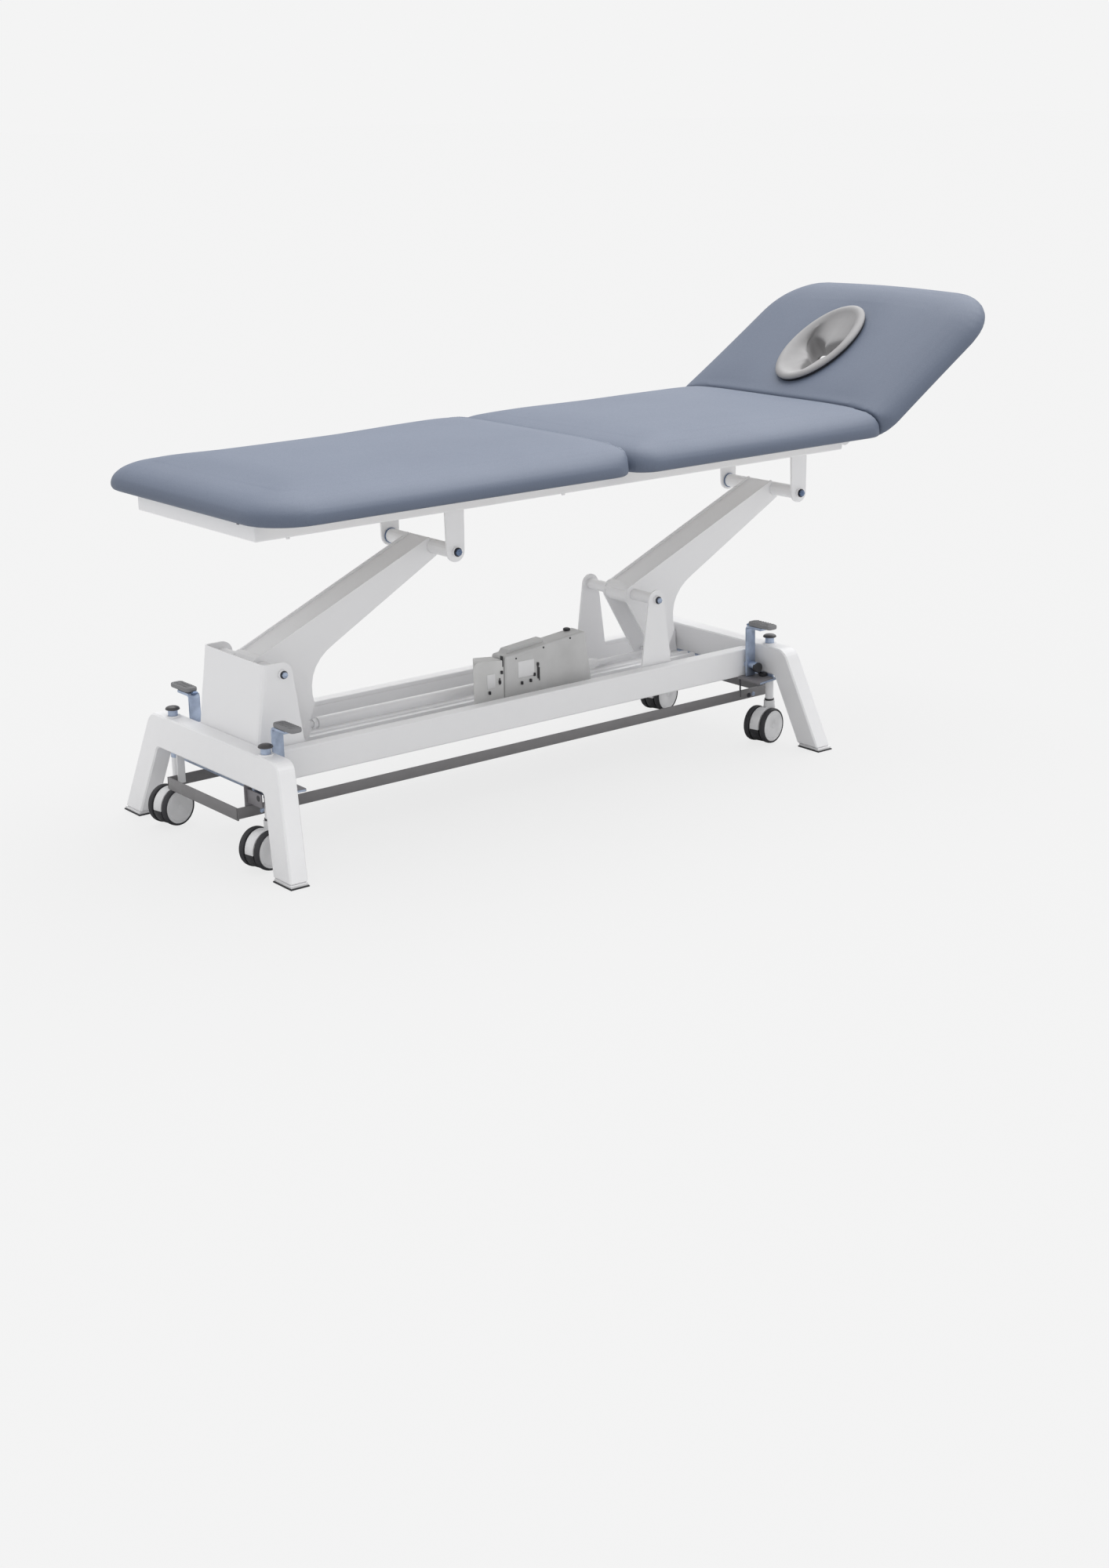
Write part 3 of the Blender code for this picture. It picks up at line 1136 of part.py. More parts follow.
def build_control_boxes():
    """The drafted control housing and the smaller supply housing beside it."""
    middle = BOX_NEAR_Y + BOX_DEPTH / 2
    outline = [(BOX_LEFT, TOWER_BOTTOM), (BOX_RIGHT, TOWER_BOTTOM),
               (BOX_RIGHT - BOX_RIGHT_DRAFT, BOX_RIGHT_TOP),
               (BOX_LEFT + BOX_LEFT_DRAFT, BOX_LEFT_TOP)]
    piece = add_piece("control_box", plate([outline], BOX_DEPTH, "XZ", middle), GREY_SHELL)
    soften(piece, BOX_EDGE)
    back = BOX_NEAR_Y + BOX_DEPTH - BOX_EDGE
    start = BOX_LEFT + BOX_LEFT_DRAFT + BOX_HUMP_START
    slope = (BOX_RIGHT_TOP - BOX_LEFT_TOP) / (BOX_RIGHT - BOX_LEFT)
    stretch = [start, start + BOX_HUMP_LENGTH]
    crest = BOX_LEFT_TOP + BOX_HUMP_HEIGHT
    hump = [(stretch[0] - BOX_EDGE, BOX_LEFT_TOP - BOX_EDGE), (stretch[1], BOX_LEFT_TOP - BOX_EDGE),
            (stretch[1], crest + slope * BOX_HUMP_LENGTH), (stretch[0] + BOX_EDGE, crest)]
    join(piece, plate([hump], BOX_HUMP_DEPTH, "XZ", back - BOX_HUMP_DEPTH / 2))
    right = BOX_LEFT - CLEARANCE
    left = right - SMALL_BOX_LENGTH
    corners = [(left, TOWER_BOTTOM, 0), (right, TOWER_BOTTOM, 0),
               (right, SMALL_BOX_TOP - SMALL_BOX_FALL, 0), (left, SMALL_BOX_TOP, SMALL_BOX_CORNER)]
    mesh = plate([rounded(corners)], SMALL_BOX_DEPTH, "XZ", BOX_NEAR_Y + SMALL_BOX_DEPTH / 2)
    piece = add_piece("supply_box", mesh, GREY_SHELL)
    slant = Matrix.Rotation(math.radians(-SMALL_BOX_SLANT), 4, "Z")
    cut(piece, box((-SMALL_BOX_LENGTH, -OVERRUN, 0), (0, SMALL_BOX_LENGTH, SMALL_BOX_TOP * 2)),
        Matrix.Translation((left, BOX_NEAR_Y, 0)) @ slant)
    soften(piece, BOX_EDGE / 2)


def build_table():
    build_tray()
    build_foot_tower()
    build_tie_rod()
    build_top_frame()
    build_leg_section()
    build_seat_section()
    build_head_section()
    build_switch_bar()
    build_control_boxes()
    for near, across in SIDES:
        build_rail(near, across)
        build_head_tower(near, across)
    for end, side in ENDS:
        pivot_x = PIVOTS[end]
        build_end_frame(end, side)
        build_arm(end, pivot_x)
        pivot_bolt("lower_shaft_" + end, (pivot_x, 0, LOWER_PIVOT_Z), LOWER_SHAFT_RADIUS,
                   TOWER_HALF - TOWER_SHEET - CLEARANCE, TOWER_HALF, WHITE_PAINT)
        pivot_bolt("upper_shaft_" + end, (pivot_x + ARM_REACH, 0, LOWER_PIVOT_Z + ARM_RISE),
                   UPPER_SHAFT_RADIUS, BRACKET_INNER - CLEARANCE,
                   BRACKET_INNER + BRACKET_SHEET, WHITE_PAINT)
        build_castor_lift(end, side)
        for near, across in SIDES:
            build_foot_pad(end, side, near, across)
            build_bracket(end, pivot_x, near, across)
            build_castor(end, side, near, across)
            build_pedal(end, side, near, across)
            build_hanger(end, side, near, across)


build_table()
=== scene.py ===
# %% [markdown]
# # An electric treatment table
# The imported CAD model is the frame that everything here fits. It already holds every tube,
# plate and pivot at its real place, so this lesson gives those pieces their finishes, builds the
# upholstery over the plain cushions, and adds the small things: wheel covers, knobs and screws.
# All lengths are metres, +Z is up and +X runs towards the head end.

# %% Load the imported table
import json
import math

import bmesh
import bpy
import numpy as np
from mathutils import Matrix, Vector
from mathutils.bvhtree import BVHTree


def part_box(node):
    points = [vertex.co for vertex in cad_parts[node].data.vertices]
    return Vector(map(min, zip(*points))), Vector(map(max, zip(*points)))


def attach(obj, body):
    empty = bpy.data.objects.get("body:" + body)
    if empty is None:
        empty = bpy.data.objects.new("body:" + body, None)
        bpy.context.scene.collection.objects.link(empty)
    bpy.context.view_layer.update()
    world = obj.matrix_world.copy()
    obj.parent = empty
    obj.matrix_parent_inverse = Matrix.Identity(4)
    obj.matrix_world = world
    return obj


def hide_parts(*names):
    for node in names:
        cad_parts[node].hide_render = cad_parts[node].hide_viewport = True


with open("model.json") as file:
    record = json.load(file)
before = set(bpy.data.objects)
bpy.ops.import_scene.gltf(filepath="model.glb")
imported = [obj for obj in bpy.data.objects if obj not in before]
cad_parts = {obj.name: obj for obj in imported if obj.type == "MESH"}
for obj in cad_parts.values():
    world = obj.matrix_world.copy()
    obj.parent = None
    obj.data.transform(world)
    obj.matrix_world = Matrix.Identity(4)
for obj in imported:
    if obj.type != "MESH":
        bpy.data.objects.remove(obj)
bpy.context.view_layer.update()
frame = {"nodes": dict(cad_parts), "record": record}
nodes = frame["nodes"]

# %% [markdown]
# The table was drawn from the middle of its base, and its origin lies under the middle of its
# whole length. Working from the base keeps numbers even on both sides, so a small helper turns
# a place measured from the middle of the base into the table's own axes.

# %% Places measured from the middle of the base
BASE_MIDDLE = Vector((-0.2615, 0, 0))
SIDES = (("near", -1), ("far", 1))
ENDS = (("foot", -1), ("head", 1))
CORNERS = [(f"{end}_{near}", end, way, across) for end, way in ENDS for near, across in SIDES]


def place(x, y, z):
    return Vector((x, y, z)) + BASE_MIDDLE


def axes_at(x, y, z):
    """Axes at a place, not turned."""
    return Matrix.Translation(place(x, y, z))


print("base middle at", place(0, 0, 0)[:])

# %% [markdown]
# The photograph was taken from the near foot corner, a little above the cushions. The camera's
# place, turn and lens come from fitting about seventy corners of the table in the picture, so
# the frame falls on the photograph without any shift of the lens.

# %% Camera
VIEW_YAW, VIEW_PITCH, VIEW_ROLL = (math.radians(a) for a in (52.7614, -17.3407, -1.3155))
FOCAL_PIXELS = 2942.53
PAGE_HEIGHT = 2000
SENSOR = 36

forward = Vector((math.cos(VIEW_YAW) * math.cos(VIEW_PITCH),
                  math.sin(VIEW_YAW) * math.cos(VIEW_PITCH), math.sin(VIEW_PITCH)))
level = Vector((math.sin(VIEW_YAW), -math.cos(VIEW_YAW), 0))
upward = level.cross(forward)
right = math.cos(VIEW_ROLL) * level + math.sin(VIEW_ROLL) * upward
top = math.cos(VIEW_ROLL) * upward - math.sin(VIEW_ROLL) * level
lens = bpy.data.cameras.new("camera")
lens.sensor_width = SENSOR
lens.lens = SENSOR * FOCAL_PIXELS / PAGE_HEIGHT
lens.clip_end = 200
camera = bpy.data.objects.new("camera", lens)
turn = Matrix((right, top, -forward)).transposed()
camera.matrix_world = axes_at(-2.7905, -3.9064, 1.4820) @ turn.to_4x4()
bpy.context.scene.collection.objects.link(camera)
bpy.context.scene.camera = camera
print("camera at", camera.location[:], "lens", round(lens.lens, 2), "mm")

# %% [markdown]
# ## Drawing finishes with arithmetic
# A real finish is never one flat colour: paint has orange peel, vinyl has grain, plated steel
# has clouds. Each of those is a sum of noises, so the sums are written as sums. `Wire` stands
# for the output of a node and turns `+`, `-` and `*` into Math nodes. `Nodes` holds a node
# tree, and its one method makes any other node. `Finish` is the tree of one material.

# %% A socket that can be added and multiplied
def feed(socket, value):
    """Link a wire to a socket, or set the socket to a plain value."""
    if isinstance(value, Wire):
        socket.id_data.links.new(value.socket, socket)
    else:
        socket.default_value = value


class Wire:
    def __init__(self, socket):
        self.socket = socket

    def out(self, name):
        """Another output of the same node."""
        return Wire(self.socket.node.outputs[name])

    def sum_node(self, operation, first, second):
        node = self.socket.id_data.nodes.new("ShaderNodeMath")
        node.operation = operation
        feed(node.inputs[0], first)
        feed(node.inputs[1], second)
        return Wire(node.outputs[0])

    def __add__(self, other):
        return self.sum_node("ADD", self, other)

    def __sub__(self, other):
        return self.sum_node("SUBTRACT", self, other)

    def __mul__(self, other):
        return self.sum_node("MULTIPLY", self, other)

    def __radd__(self, other):
        return self.sum_node("ADD", other, self)

    def __rsub__(self, other):
        return self.sum_node("SUBTRACT", other, self)

    def __rmul__(self, other):
        return self.sum_node("MULTIPLY", other, self)


class Nodes:
    """A node tree, and the one method that adds any node to it."""

    def __init__(self, tree):
        self.tree = tree

    def node(self, kind, settings=None, sockets=None):
        """Any node: its settings first, then the values or links of its sockets."""
        node = self.tree.nodes.new(kind)
        for name, value in (settings or {}).items():
            setattr(node, name, value)
        for name, value in (sockets or {}).items():
            feed(node.inputs[name], value)
        return Wire(next(o for o in node.outputs if o.enabled))

    def show(self, shader):
        """Make this shader the one that is seen."""
        output = self.tree.nodes.get("Material Output") or self.tree.nodes["World Output"]
        feed(output.inputs["Surface"], shader)


class Finish(Nodes):
    """One material. Its shader's sockets are set by name."""

    def __init__(self, name, **constants):
        self.material = bpy.data.materials.new(name)
        self.material.use_nodes = True
        super().__init__(self.material.node_tree)
        self.shader = self.tree.nodes["Principled BSDF"]
        self.place = self.node("ShaderNodeTexCoord").out("Object")
        self.paint(**constants)

    def stretched(self, x, y, z):
        """The surface's coordinates, scaled along each axis."""
        return self.node("ShaderNodeVectorMath", {"operation": "MULTIPLY"},
                         {0: self.place, 1: (x, y, z)})

    def noise(self, scale, detail=2, place=None):
        return self.node("ShaderNodeTexNoise", None,
                         {"Vector": place or self.place, "Scale": scale, "Detail": detail})

    def cells(self, scale, feature="F1"):
        return self.node("ShaderNodeTexVoronoi", {"feature": feature},
                         {"Vector": self.place, "Scale": scale})

    def limited(self, value, low, high, new_low=0.0, new_high=1.0):
        """The value with low..high spread over new_low..new_high, and clamped there."""
        return self.node("ShaderNodeMapRange", None,
                         {"Value": value, "From Min": low, "From Max": high,
                          "To Min": new_low, "To Max": new_high})

    def mixed(self, share, first, second):
        """Two colours mixed by a share."""
        return self.node("ShaderNodeMix", {"data_type": "RGBA"},
                         {0: share, 6: first, 7: second}).out(2)

    def bump(self, height, distance, strength=1.0, under=None):
        sockets = {"Height": height, "Distance": distance, "Strength": strength}
        if under:
            sockets["Normal"] = under
        return self.node("ShaderNodeBump", None, sockets)

    def paint(self, **sockets):
        """Feed the shader's sockets, each named with _ for a space."""
        for name, value in sockets.items():
            feed(self.shader.inputs[name.replace("_", " ")], value)
        return self


print("finish tools ready")

# %% [markdown]
# ### Powder-coated steel
# The frame is white powder coat. Baked powder flows into a faint orange peel, about two
# millimetres from crest to crest, and its white drifts slightly from place to place. A little
# more wear shows low down, where shoes touch the base, so the roughness rises there.

# %% White and grey powder coat
def rgba(red, green, blue):
    return (red, green, blue, 1.0)


def powder_coat(name, light, dark, roughness):
    finish = Finish(name)
    drift = finish.noise(3.0, 3)
    cloud = finish.noise(38.0, 4)
    height = finish.node("ShaderNodeSeparateXYZ", None, {0: finish.place}).out("Z")
    scuffed = finish.limited(height, 0.35, 0.0) * finish.limited(cloud, 0.45, 0.75)
    share = drift * 0.6 + scuffed * 0.25
    peel = finish.noise(520.0, 1)
    return finish.paint(
        Base_Color=finish.mixed(share, light, dark),
        Roughness=roughness + 0.10 * cloud + 0.15 * scuffed,
        Normal=finish.bump(peel, 0.0001, 0.25))


white_coat = powder_coat("white_powder_coat", rgba(0.89, 0.89, 0.90), rgba(0.83, 0.83, 0.845),
                         0.30)
grey_coat = powder_coat("grey_powder_coat", rgba(0.185, 0.185, 0.195), rgba(0.13, 0.13, 0.14),
                        0.36)
cover_coat = powder_coat("cover_powder_coat", rgba(0.235, 0.225, 0.24), rgba(0.17, 0.165, 0.175),
                         0.40)
bar_coat = powder_coat("bar_powder_coat", rgba(0.215, 0.21, 0.215), rgba(0.155, 0.15, 0.155),
                       0.36)
print("powder coats:", white_coat.material.name, grey_coat.material.name)

# %% [markdown]
# ### Zinc-plated steel
# The castor stems and pedals are plated, with the blue cast of zinc. Rolled strip
# keeps fine lines along its length and the plating dries in pale clouds, so one noise is
# stretched into lines and another stays round.

# %% Zinc plate and dark steel
def plated(name, light, dark, roughness, metallic=0.85):
    finish = Finish(name, Metallic=metallic)
    clouds = finish.noise(45.0, 5)
    lines = finish.noise(1.0, 3, finish.stretched(60, 60, 1800))
    return finish.paint(
        Base_Color=finish.mixed(finish.limited(clouds, 0.35, 0.65), light, dark),
        Roughness=roughness + 0.12 * clouds + 0.10 * lines,
        Normal=finish.bump(lines, 0.00005, 0.3))


zinc = plated("zinc_plate", rgba(0.48, 0.56, 0.70), rgba(0.34, 0.40, 0.52), 0.28)
blued_steel = plated("blued_steel", rgba(0.20, 0.27, 0.40), rgba(0.13, 0.18, 0.29), 0.30)
dark_steel = plated("dark_steel", rgba(0.09, 0.09, 0.10), rgba(0.05, 0.05, 0.06), 0.35, 0.6)
print("plated finishes:", zinc.material.name, dark_steel.material.name)

# %% [markdown]
# ### Moulded plastic and rubber
# Moulds are spark-eroded, which leaves an even sand-like texture. Rubber shows the same at a
# larger scale, and its tone drifts in slightly darker patches.

# %% Moulded plastics and rubber
def moulded(name, colour, roughness, grain=900.0, depth=0.00012):
    finish = Finish(name)
    sand = finish.noise(grain, 2)
    drift = finish.noise(14.0, 3)
    shade = tuple(channel * 0.86 for channel in colour[:3]) + (1.0,)
    return finish.paint(
        Base_Color=finish.mixed(finish.limited(drift, 0.3, 0.7), colour, shade),
        Roughness=roughness + 0.12 * sand,
        Normal=finish.bump(sand, depth, 0.5))


grey_shell = moulded("grey_moulding", rgba(0.62, 0.62, 0.62), 0.42)
light_shell = moulded("light_moulding", rgba(0.70, 0.70, 0.695), 0.42)
pale_shell = moulded("pale_moulding", rgba(0.84, 0.84, 0.85), 0.36)
ring_shell = moulded("face_ring_moulding", rgba(0.34, 0.335, 0.34), 0.52)
tread_grey = moulded("ribbed_tread", rgba(0.25, 0.25, 0.26), 0.6, 500.0, 0.0003)
black_plastic = moulded("black_plastic", rgba(0.022, 0.022, 0.026), 0.38)
cap_plastic = moulded("cap_plastic", rgba(0.060, 0.058, 0.062), 0.34)
rubber = moulded("black_rubber", rgba(0.035, 0.035, 0.04), 0.62, 350.0, 0.0003)
print("moulded finishes ready")

# %% [markdown]
# ### Vinyl upholstery
# The cover is soft vinyl, printed with a fine leather grain: small rounded pebbles, about a
# millimetre across, with creases between them. Its colour is even, but the pebbles' tops are a
# touch lighter and smoother than the creases.

# %% Blue-grey vinyl
def vinyl(name, colour, crease_colour, roughness):
    finish = Finish(name)
    pebbles = finish.cells(850.0, "SMOOTH_F1")
    wrinkles = finish.noise(260.0, 3)
    drift = finish.noise(4.0, 3)
    crease = finish.limited(pebbles * 0.8 + wrinkles * 0.4, 0.30, 0.75)
    fine = finish.bump(crease, 0.00018, 0.55)
    return finish.paint(
        Base_Color=finish.mixed(crease * 0.35 + finish.limited(drift, 0.35, 0.7) * 0.3,
                                colour, crease_colour),
        Roughness=roughness + 0.12 * crease + 0.05 * drift,
        Normal=finish.bump(wrinkles, 0.0004, 0.25, fine))


hide = vinyl("blue_grey_vinyl", rgba(0.120, 0.147, 0.205), rgba(0.098, 0.121, 0.173), 0.50)
thread = moulded("stitching_thread", rgba(0.24, 0.28, 0.36), 0.6, 2500.0, 0.0002)
print("vinyl:", hide.material.name)

# %% [markdown]
# ### Birch plywood
# Each cushion is stapled to a plywood board. From below the board shows long grain, so a noise
# is stretched along the table and darkened in thin bands.

# %% Birch plywood
plywood = Finish("birch_plywood")
grain = plywood.noise(1.0, 5, plywood.stretched(6, 160, 160))
bands = plywood.limited(grain, 0.40, 0.62)
plywood.paint(Base_Color=plywood.mixed(bands, rgba(0.67, 0.65, 0.62), rgba(0.59, 0.57, 0.54)),
              Roughness=0.55 + 0.15 * grain,
              Normal=plywood.bump(grain, 0.0003, 0.4))
print("plywood:", plywood.material.name)

# %% [markdown]
# ## Giving the CAD pieces their finishes
# The record lists a material slot for every node. Each slot takes one of the finishes above,
# put into the node's own material slot, so no mesh is touched.

# %% Finishes for the CAD nodes
SLOT_FINISHES = {
    "white_paint": white_coat, "grey_paint": grey_coat, "zinc_steel": zinc,
    "dark_tread": tread_grey, "black_rubber": rubber, "blue_hide": hide,
    "birch_plywood": plywood, "grey_shell": grey_shell, "pale_shell": pale_shell,
}
for part in frame["record"]["subparts"]:
    for spot in nodes[part["node"]].material_slots:
        spot.material = SLOT_FINISHES[part["material_slot"]].material
nodes["supply_box"].material_slots[0].material = light_shell.material
for end in ("foot", "head"):
    nodes["rod_end_" + end].material_slots[0].material = white_coat.material
nodes["bar_hanger_foot_far"].material_slots[0].material = white_coat.material

# %% [markdown]
# ## Making pieces
# Most of the small things are either turned, like a bolt or a wheel, or cut from sheet, like a
# bracket. So there are two helpers for shapes: one spins a profile about an axis, the other
# extrudes an outline and rounds its edges. A third fills the skin between rings of points, for
# shapes that change on their way up. `add_piece` gives a shape its finish and the body it rides
# on. Edges are rounded because light catches a real edge, however sharp.

# %% Turned shapes and cut sheets
def facing(spot, axis):
    """Axes at a spot, with Z along the given direction."""
    turn = Vector(axis).to_track_quat("Z", "Y").to_matrix().to_4x4()
    return Matrix.Translation(spot) @ turn


def turned(profile, axes=Matrix(), steps=48, closed=False):
    """Spin (radius, height) pairs about the Z axis."""
    bm = bmesh.new()
    rings = []
    for radius, height in profile:
        count = steps if radius > 0 else 1
        turns = [2 * math.pi * step / steps for step in range(count)]
        rings.append([bm.verts.new((radius * math.cos(a), radius * math.sin(a), height))
                      for a in turns])
    pairs = list(zip(rings, rings[1:])) + ([(rings[-1], rings[0])] if closed else [])
    for lower, upper in pairs:
        for step in range(steps):
            after = (step + 1) % steps
            corners = (lower[step % len(lower)], lower[after % len(lower)],
                       upper[after % len(upper)], upper[step % len(upper)])
            bm.faces.new(dict.fromkeys(corners))
    bm.transform(axes)
    return bm


def sheet(outline, thickness, axes=Matrix(), edge=0.0008):
    """Extrude a flat outline along Z and round its sharp edges."""
    bm = bmesh.new()
    face = bm.faces.new([bm.verts.new((x, y, 0)) for x, y in outline])
    grown = bmesh.ops.extrude_face_region(bm, geom=[face])["geom"]
    moved = [item for item in grown if isinstance(item, bmesh.types.BMVert)]
    bmesh.ops.translate(bm, vec=(0, 0, thickness), verts=moved)
    bmesh.ops.recalc_face_normals(bm, faces=bm.faces)
    sharp = [rim for rim in bm.edges if rim.calc_face_angle(0) > math.radians(30)]
    bmesh.ops.bevel(bm, geom=sharp, offset=edge, segments=2, profile=0.5, affect="EDGES")
    bm.transform(axes)
    return bm


def slab(low, high, edge=0.0012):
    """A block with rounded edges between two corners, in the table's own axes."""
    length, width, height = Vector(high) - Vector(low)
    outline = ((0, 0), (length, 0), (length, width), (0, width))
    return sheet(outline, height, Matrix.Translation(low), edge)


def block(low, high, edge=0.0012):
    """A slab between two corners that are measured from the base's middle."""
    return slab(place(*low), place(*high), edge)


def rod(start, end, radius, edge=0.0008, steps=32):
    """A round bar with softened ends."""
    length = (Vector(end) - Vector(start)).length
    profile = ((0, 0), (radius - edge, 0), (radius, edge), (radius, length - edge),
               (radius - edge, length), (0, length))
    return turned(profile, facing(start, Vector(end) - Vector(start)), steps)


def joined(*shapes):
    """Several shapes in one mesh."""
    whole = bmesh.new()
    for shape in shapes:
        mesh = bpy.data.meshes.new("joined")
        shape.to_mesh(mesh)
        shape.free()
        whole.from_mesh(mesh)
        bpy.data.meshes.remove(mesh)
    return whole


def fill_between(bm, rings):
    """Join each ring to the next one, all with the same number of points."""
    for ring, following in zip(rings, rings[1:]):
        for index in range(len(ring)):
            after = (index + 1) % len(ring)
            bm.faces.new((ring[index], ring[after], following[after], following[index]))


def banded(outlines, axes):
    """A skin through outlines at their heights, closed from the last to the first."""
    bm = bmesh.new()
    rings = [[bm.verts.new((point.x, point.y, height)) for point in points]
             for points, height in outlines]
    fill_between(bm, rings + rings[:1])
    bm.transform(axes)
    return bm


def as_object(name, bm):
    """Turn a bmesh into an object of the scene."""
    mesh = bpy.data.meshes.new(name)
    bm.to_mesh(mesh)
    bm.free()
    piece = bpy.data.objects.new(name, mesh)
    bpy.context.scene.collection.objects.link(piece)
    return piece


def add_piece(name, bm, finish, body, stands_for=(), sharp=35):
    """Turn a bmesh into a piece with a finish and a body."""
    bmesh.ops.recalc_face_normals(bm, faces=bm.faces)
    piece = as_object(name, bm)
    piece.data.shade_smooth()
    piece.data.set_sharp_from_angle(angle=math.radians(sharp))
    piece.data.materials.append(finish.material)
    if stands_for:
        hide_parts(*stands_for)
    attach(piece, body)
    return piece


print("shape helpers ready")

# %% [markdown]
# ## Upholstery
# Each cushion is foam in a vinyl cover, pulled down over a plywood board and stapled under it.
# A box with rounded edges would look like a brick. The real thing has broad soft shoulders,
# sides that draw in towards the staples, and a slight crown. So the cage starts as a stack of
# outlines, each drawn in a little, and the cloth solver then blows the cover up from inside
# while the stapled hem and the seam faces are held. All cages start four millimetres small,
# because the cover swells.

# %% Cage of a cushion
CUSHION_HALF = 0.350
CUSHION_THICKNESS = 0.067
START_SMALLER = 0.004
# How far each outline is drawn in from the side, and how far it lies below the top.
SHOULDER = ((0.180, 0.0), (0.140, 0.0008), (0.110, 0.0020), (0.085, 0.0038), (0.065, 0.0062),
            (0.048, 0.0095), (0.034, 0.0140), (0.022, 0.0200), (0.013, 0.0270),
            (0.0065, 0.0350), (0.0025, 0.0430), (0.0005, 0.0510), (0.0, 0.0570),
            (0.003, 0.0628), (0.012, 0.0662), (0.028, 0.0670))
SHORTENED = 0.94        # the cage starts thinner, so its drops end at the underside again
DRAWN_IN = 0.002        # extra pull on the sides, half way between the corners


def cushion_outline(start, end, radii, inset, bulge, upright):
    """A rectangle with a radius for the corners of each end, drawn in by the inset.

    An upright end is not drawn in, because a flat cut face follows there."""
    low = start + inset * (not upright[0])
    high = end - inset * (not upright[1])
    half = CUSHION_HALF - START_SMALLER - inset
    arcs = []
    for x, y, radius, first in ((high, half, radii[1], 0), (low, half, radii[0], 90),
                                (low, -half, radii[0], 180), (high, -half, radii[1], 270)):
        size = max(radius - inset, radius / 3)
        middle = Vector((x + (size if x == low else -size), y - math.copysign(size, y)))
        turns = [math.radians(first + 90 * step / 8) for step in range(9)]
        arcs.append([middle + Vector((math.cos(a), math.sin(a))) * size for a in turns])
    outline = []
    for arc, following in zip(arcs, arcs[1:] + arcs[:1]):
        outline += arc
        outline += [arc[-1].lerp(following[0], step / 12) for step in range(1, 12)]
    for point in outline:
        if point.x > end - 0.15:
            point.x += bulge * (0.5 - (point.y / CUSHION_HALF) ** 2)
        along = (2 * point.x - start - end) / (end - start)
        point.y -= math.copysign(DRAWN_IN, point.y) * max(0, 1 - along ** 2)
    return outline


def cushion_cage(start, end, bottom, radii, upright, bulge=0.0):
    bm = bmesh.new()
    rings = []
    for inset, drop in SHOULDER:
        height = bottom + CUSHION_THICKNESS - START_SMALLER - drop * SHORTENED
        outline = cushion_outline(start, end, radii, inset, bulge, upright)
        rings.append([bm.verts.new((point.x, point.y, height)) for point in outline])
    fill_between(bm, rings)
    bm.faces.new(rings[0])
    bm.faces.new(rings[-1])
    bmesh.ops.recalc_face_normals(bm, faces=bm.faces)
    return bm


def sliced(bm, spot, normal):
    """Cut off what lies beyond a plane and close the cut with a flat face."""
    whole = bm.verts[:] + bm.edges[:] + bm.faces[:]
    cut = bmesh.ops.bisect_plane(bm, geom=whole, plane_co=spot, plane_no=normal, clear_outer=True)
    rim = [item for item in cut["geom_cut"] if isinstance(item, bmesh.types.BMEdge)]
    bmesh.ops.edgeloop_fill(bm, edges=rim)
    return bm


print("outlines in a cage:", len(SHOULDER))

# %% [markdown]
# ### Blowing up the cover
# The cage is remeshed into even squares first, since cloth folds where its faces are even. Each
# point has a freedom from 0 to 1: none at the hem, at the flat seam faces and at the rim of a
# hole, full on the crown. The solver pins a point by one minus that freedom. Afterwards the
# movement is measured, softly limited, and eased over its neighbours, because tight vinyl on
# firm foam shows no small folds. Last, the underside is pushed up flat over the board.

# %% The cloth pass
VOXEL, QUICK_VOXEL = 0.006, 0.012
PRESSURE = 4
FRAMES = 20             # how long the solver runs
SWELL = 0.0045          # the most that a point may move
EASING = 60             # passes that spread each move over its neighbours
POCKET = 0.0107         # the board's top above the cushion's underside, with a little air


def evaluated_mesh(piece):
    graph = bpy.context.evaluated_depsgraph_get()
    return bpy.data.meshes.new_from_object(piece.evaluated_get(graph))


def swap_mesh(piece, mesh):
    spent = piece.data
    piece.modifiers.clear()
    piece.data = mesh
    bpy.data.meshes.remove(spent)


def blow_up(cover, freedom):
    """Inflate a closed cover with the cloth solver, each point as far as it is free."""
    loose = [freedom(point.co) for point in cover.data.vertices]
    held = cover.vertex_groups.new(name="held")
    for index, share in enumerate(loose):
        held.add([index], 1 - share, "REPLACE")
    cloth = cover.modifiers.new("cover", "CLOTH")
    cloth.settings.use_pressure = True
    cloth.settings.uniform_pressure_force = PRESSURE
    cloth.settings.effector_weights.gravity = 0
    cloth.settings.vertex_group_mass = "held"
    cloth.point_cache.frame_start = 1
    cloth.point_cache.frame_end = FRAMES
    for step in range(1, FRAMES + 1):
        bpy.context.scene.frame_set(step)
    blown = evaluated_mesh(cover)
    count = len(loose)
    loose = np.array(loose)
    start, end = np.empty(count * 3), np.empty(count * 3)
    cover.data.vertices.foreach_get("co", start)
    blown.vertices.foreach_get("co", end)
    moved = (end - start).reshape(count, 3)
    reach = np.linalg.norm(moved, axis=1)
    moved *= (np.tanh(reach / SWELL) * SWELL / np.maximum(reach, 1e-9))[:, None]
    ends = np.empty(len(blown.edges) * 2, dtype=int)
    blown.edges.foreach_get("vertices", ends)
    near, far = np.append(ends[::2], ends[1::2]), np.append(ends[1::2], ends[::2])
    links = np.maximum(np.bincount(near, minlength=count), 1)
    for _ in range(EASING):
        spread = [np.bincount(near, moved[far, axis], count) / links for axis in range(3)]
        moved = (moved + np.transpose(spread)) / 2
    moved *= loose[:, None]
    blown.vertices.foreach_set("co", start + moved.ravel())
    swap_mesh(cover, blown)
    bpy.context.scene.frame_set(1)


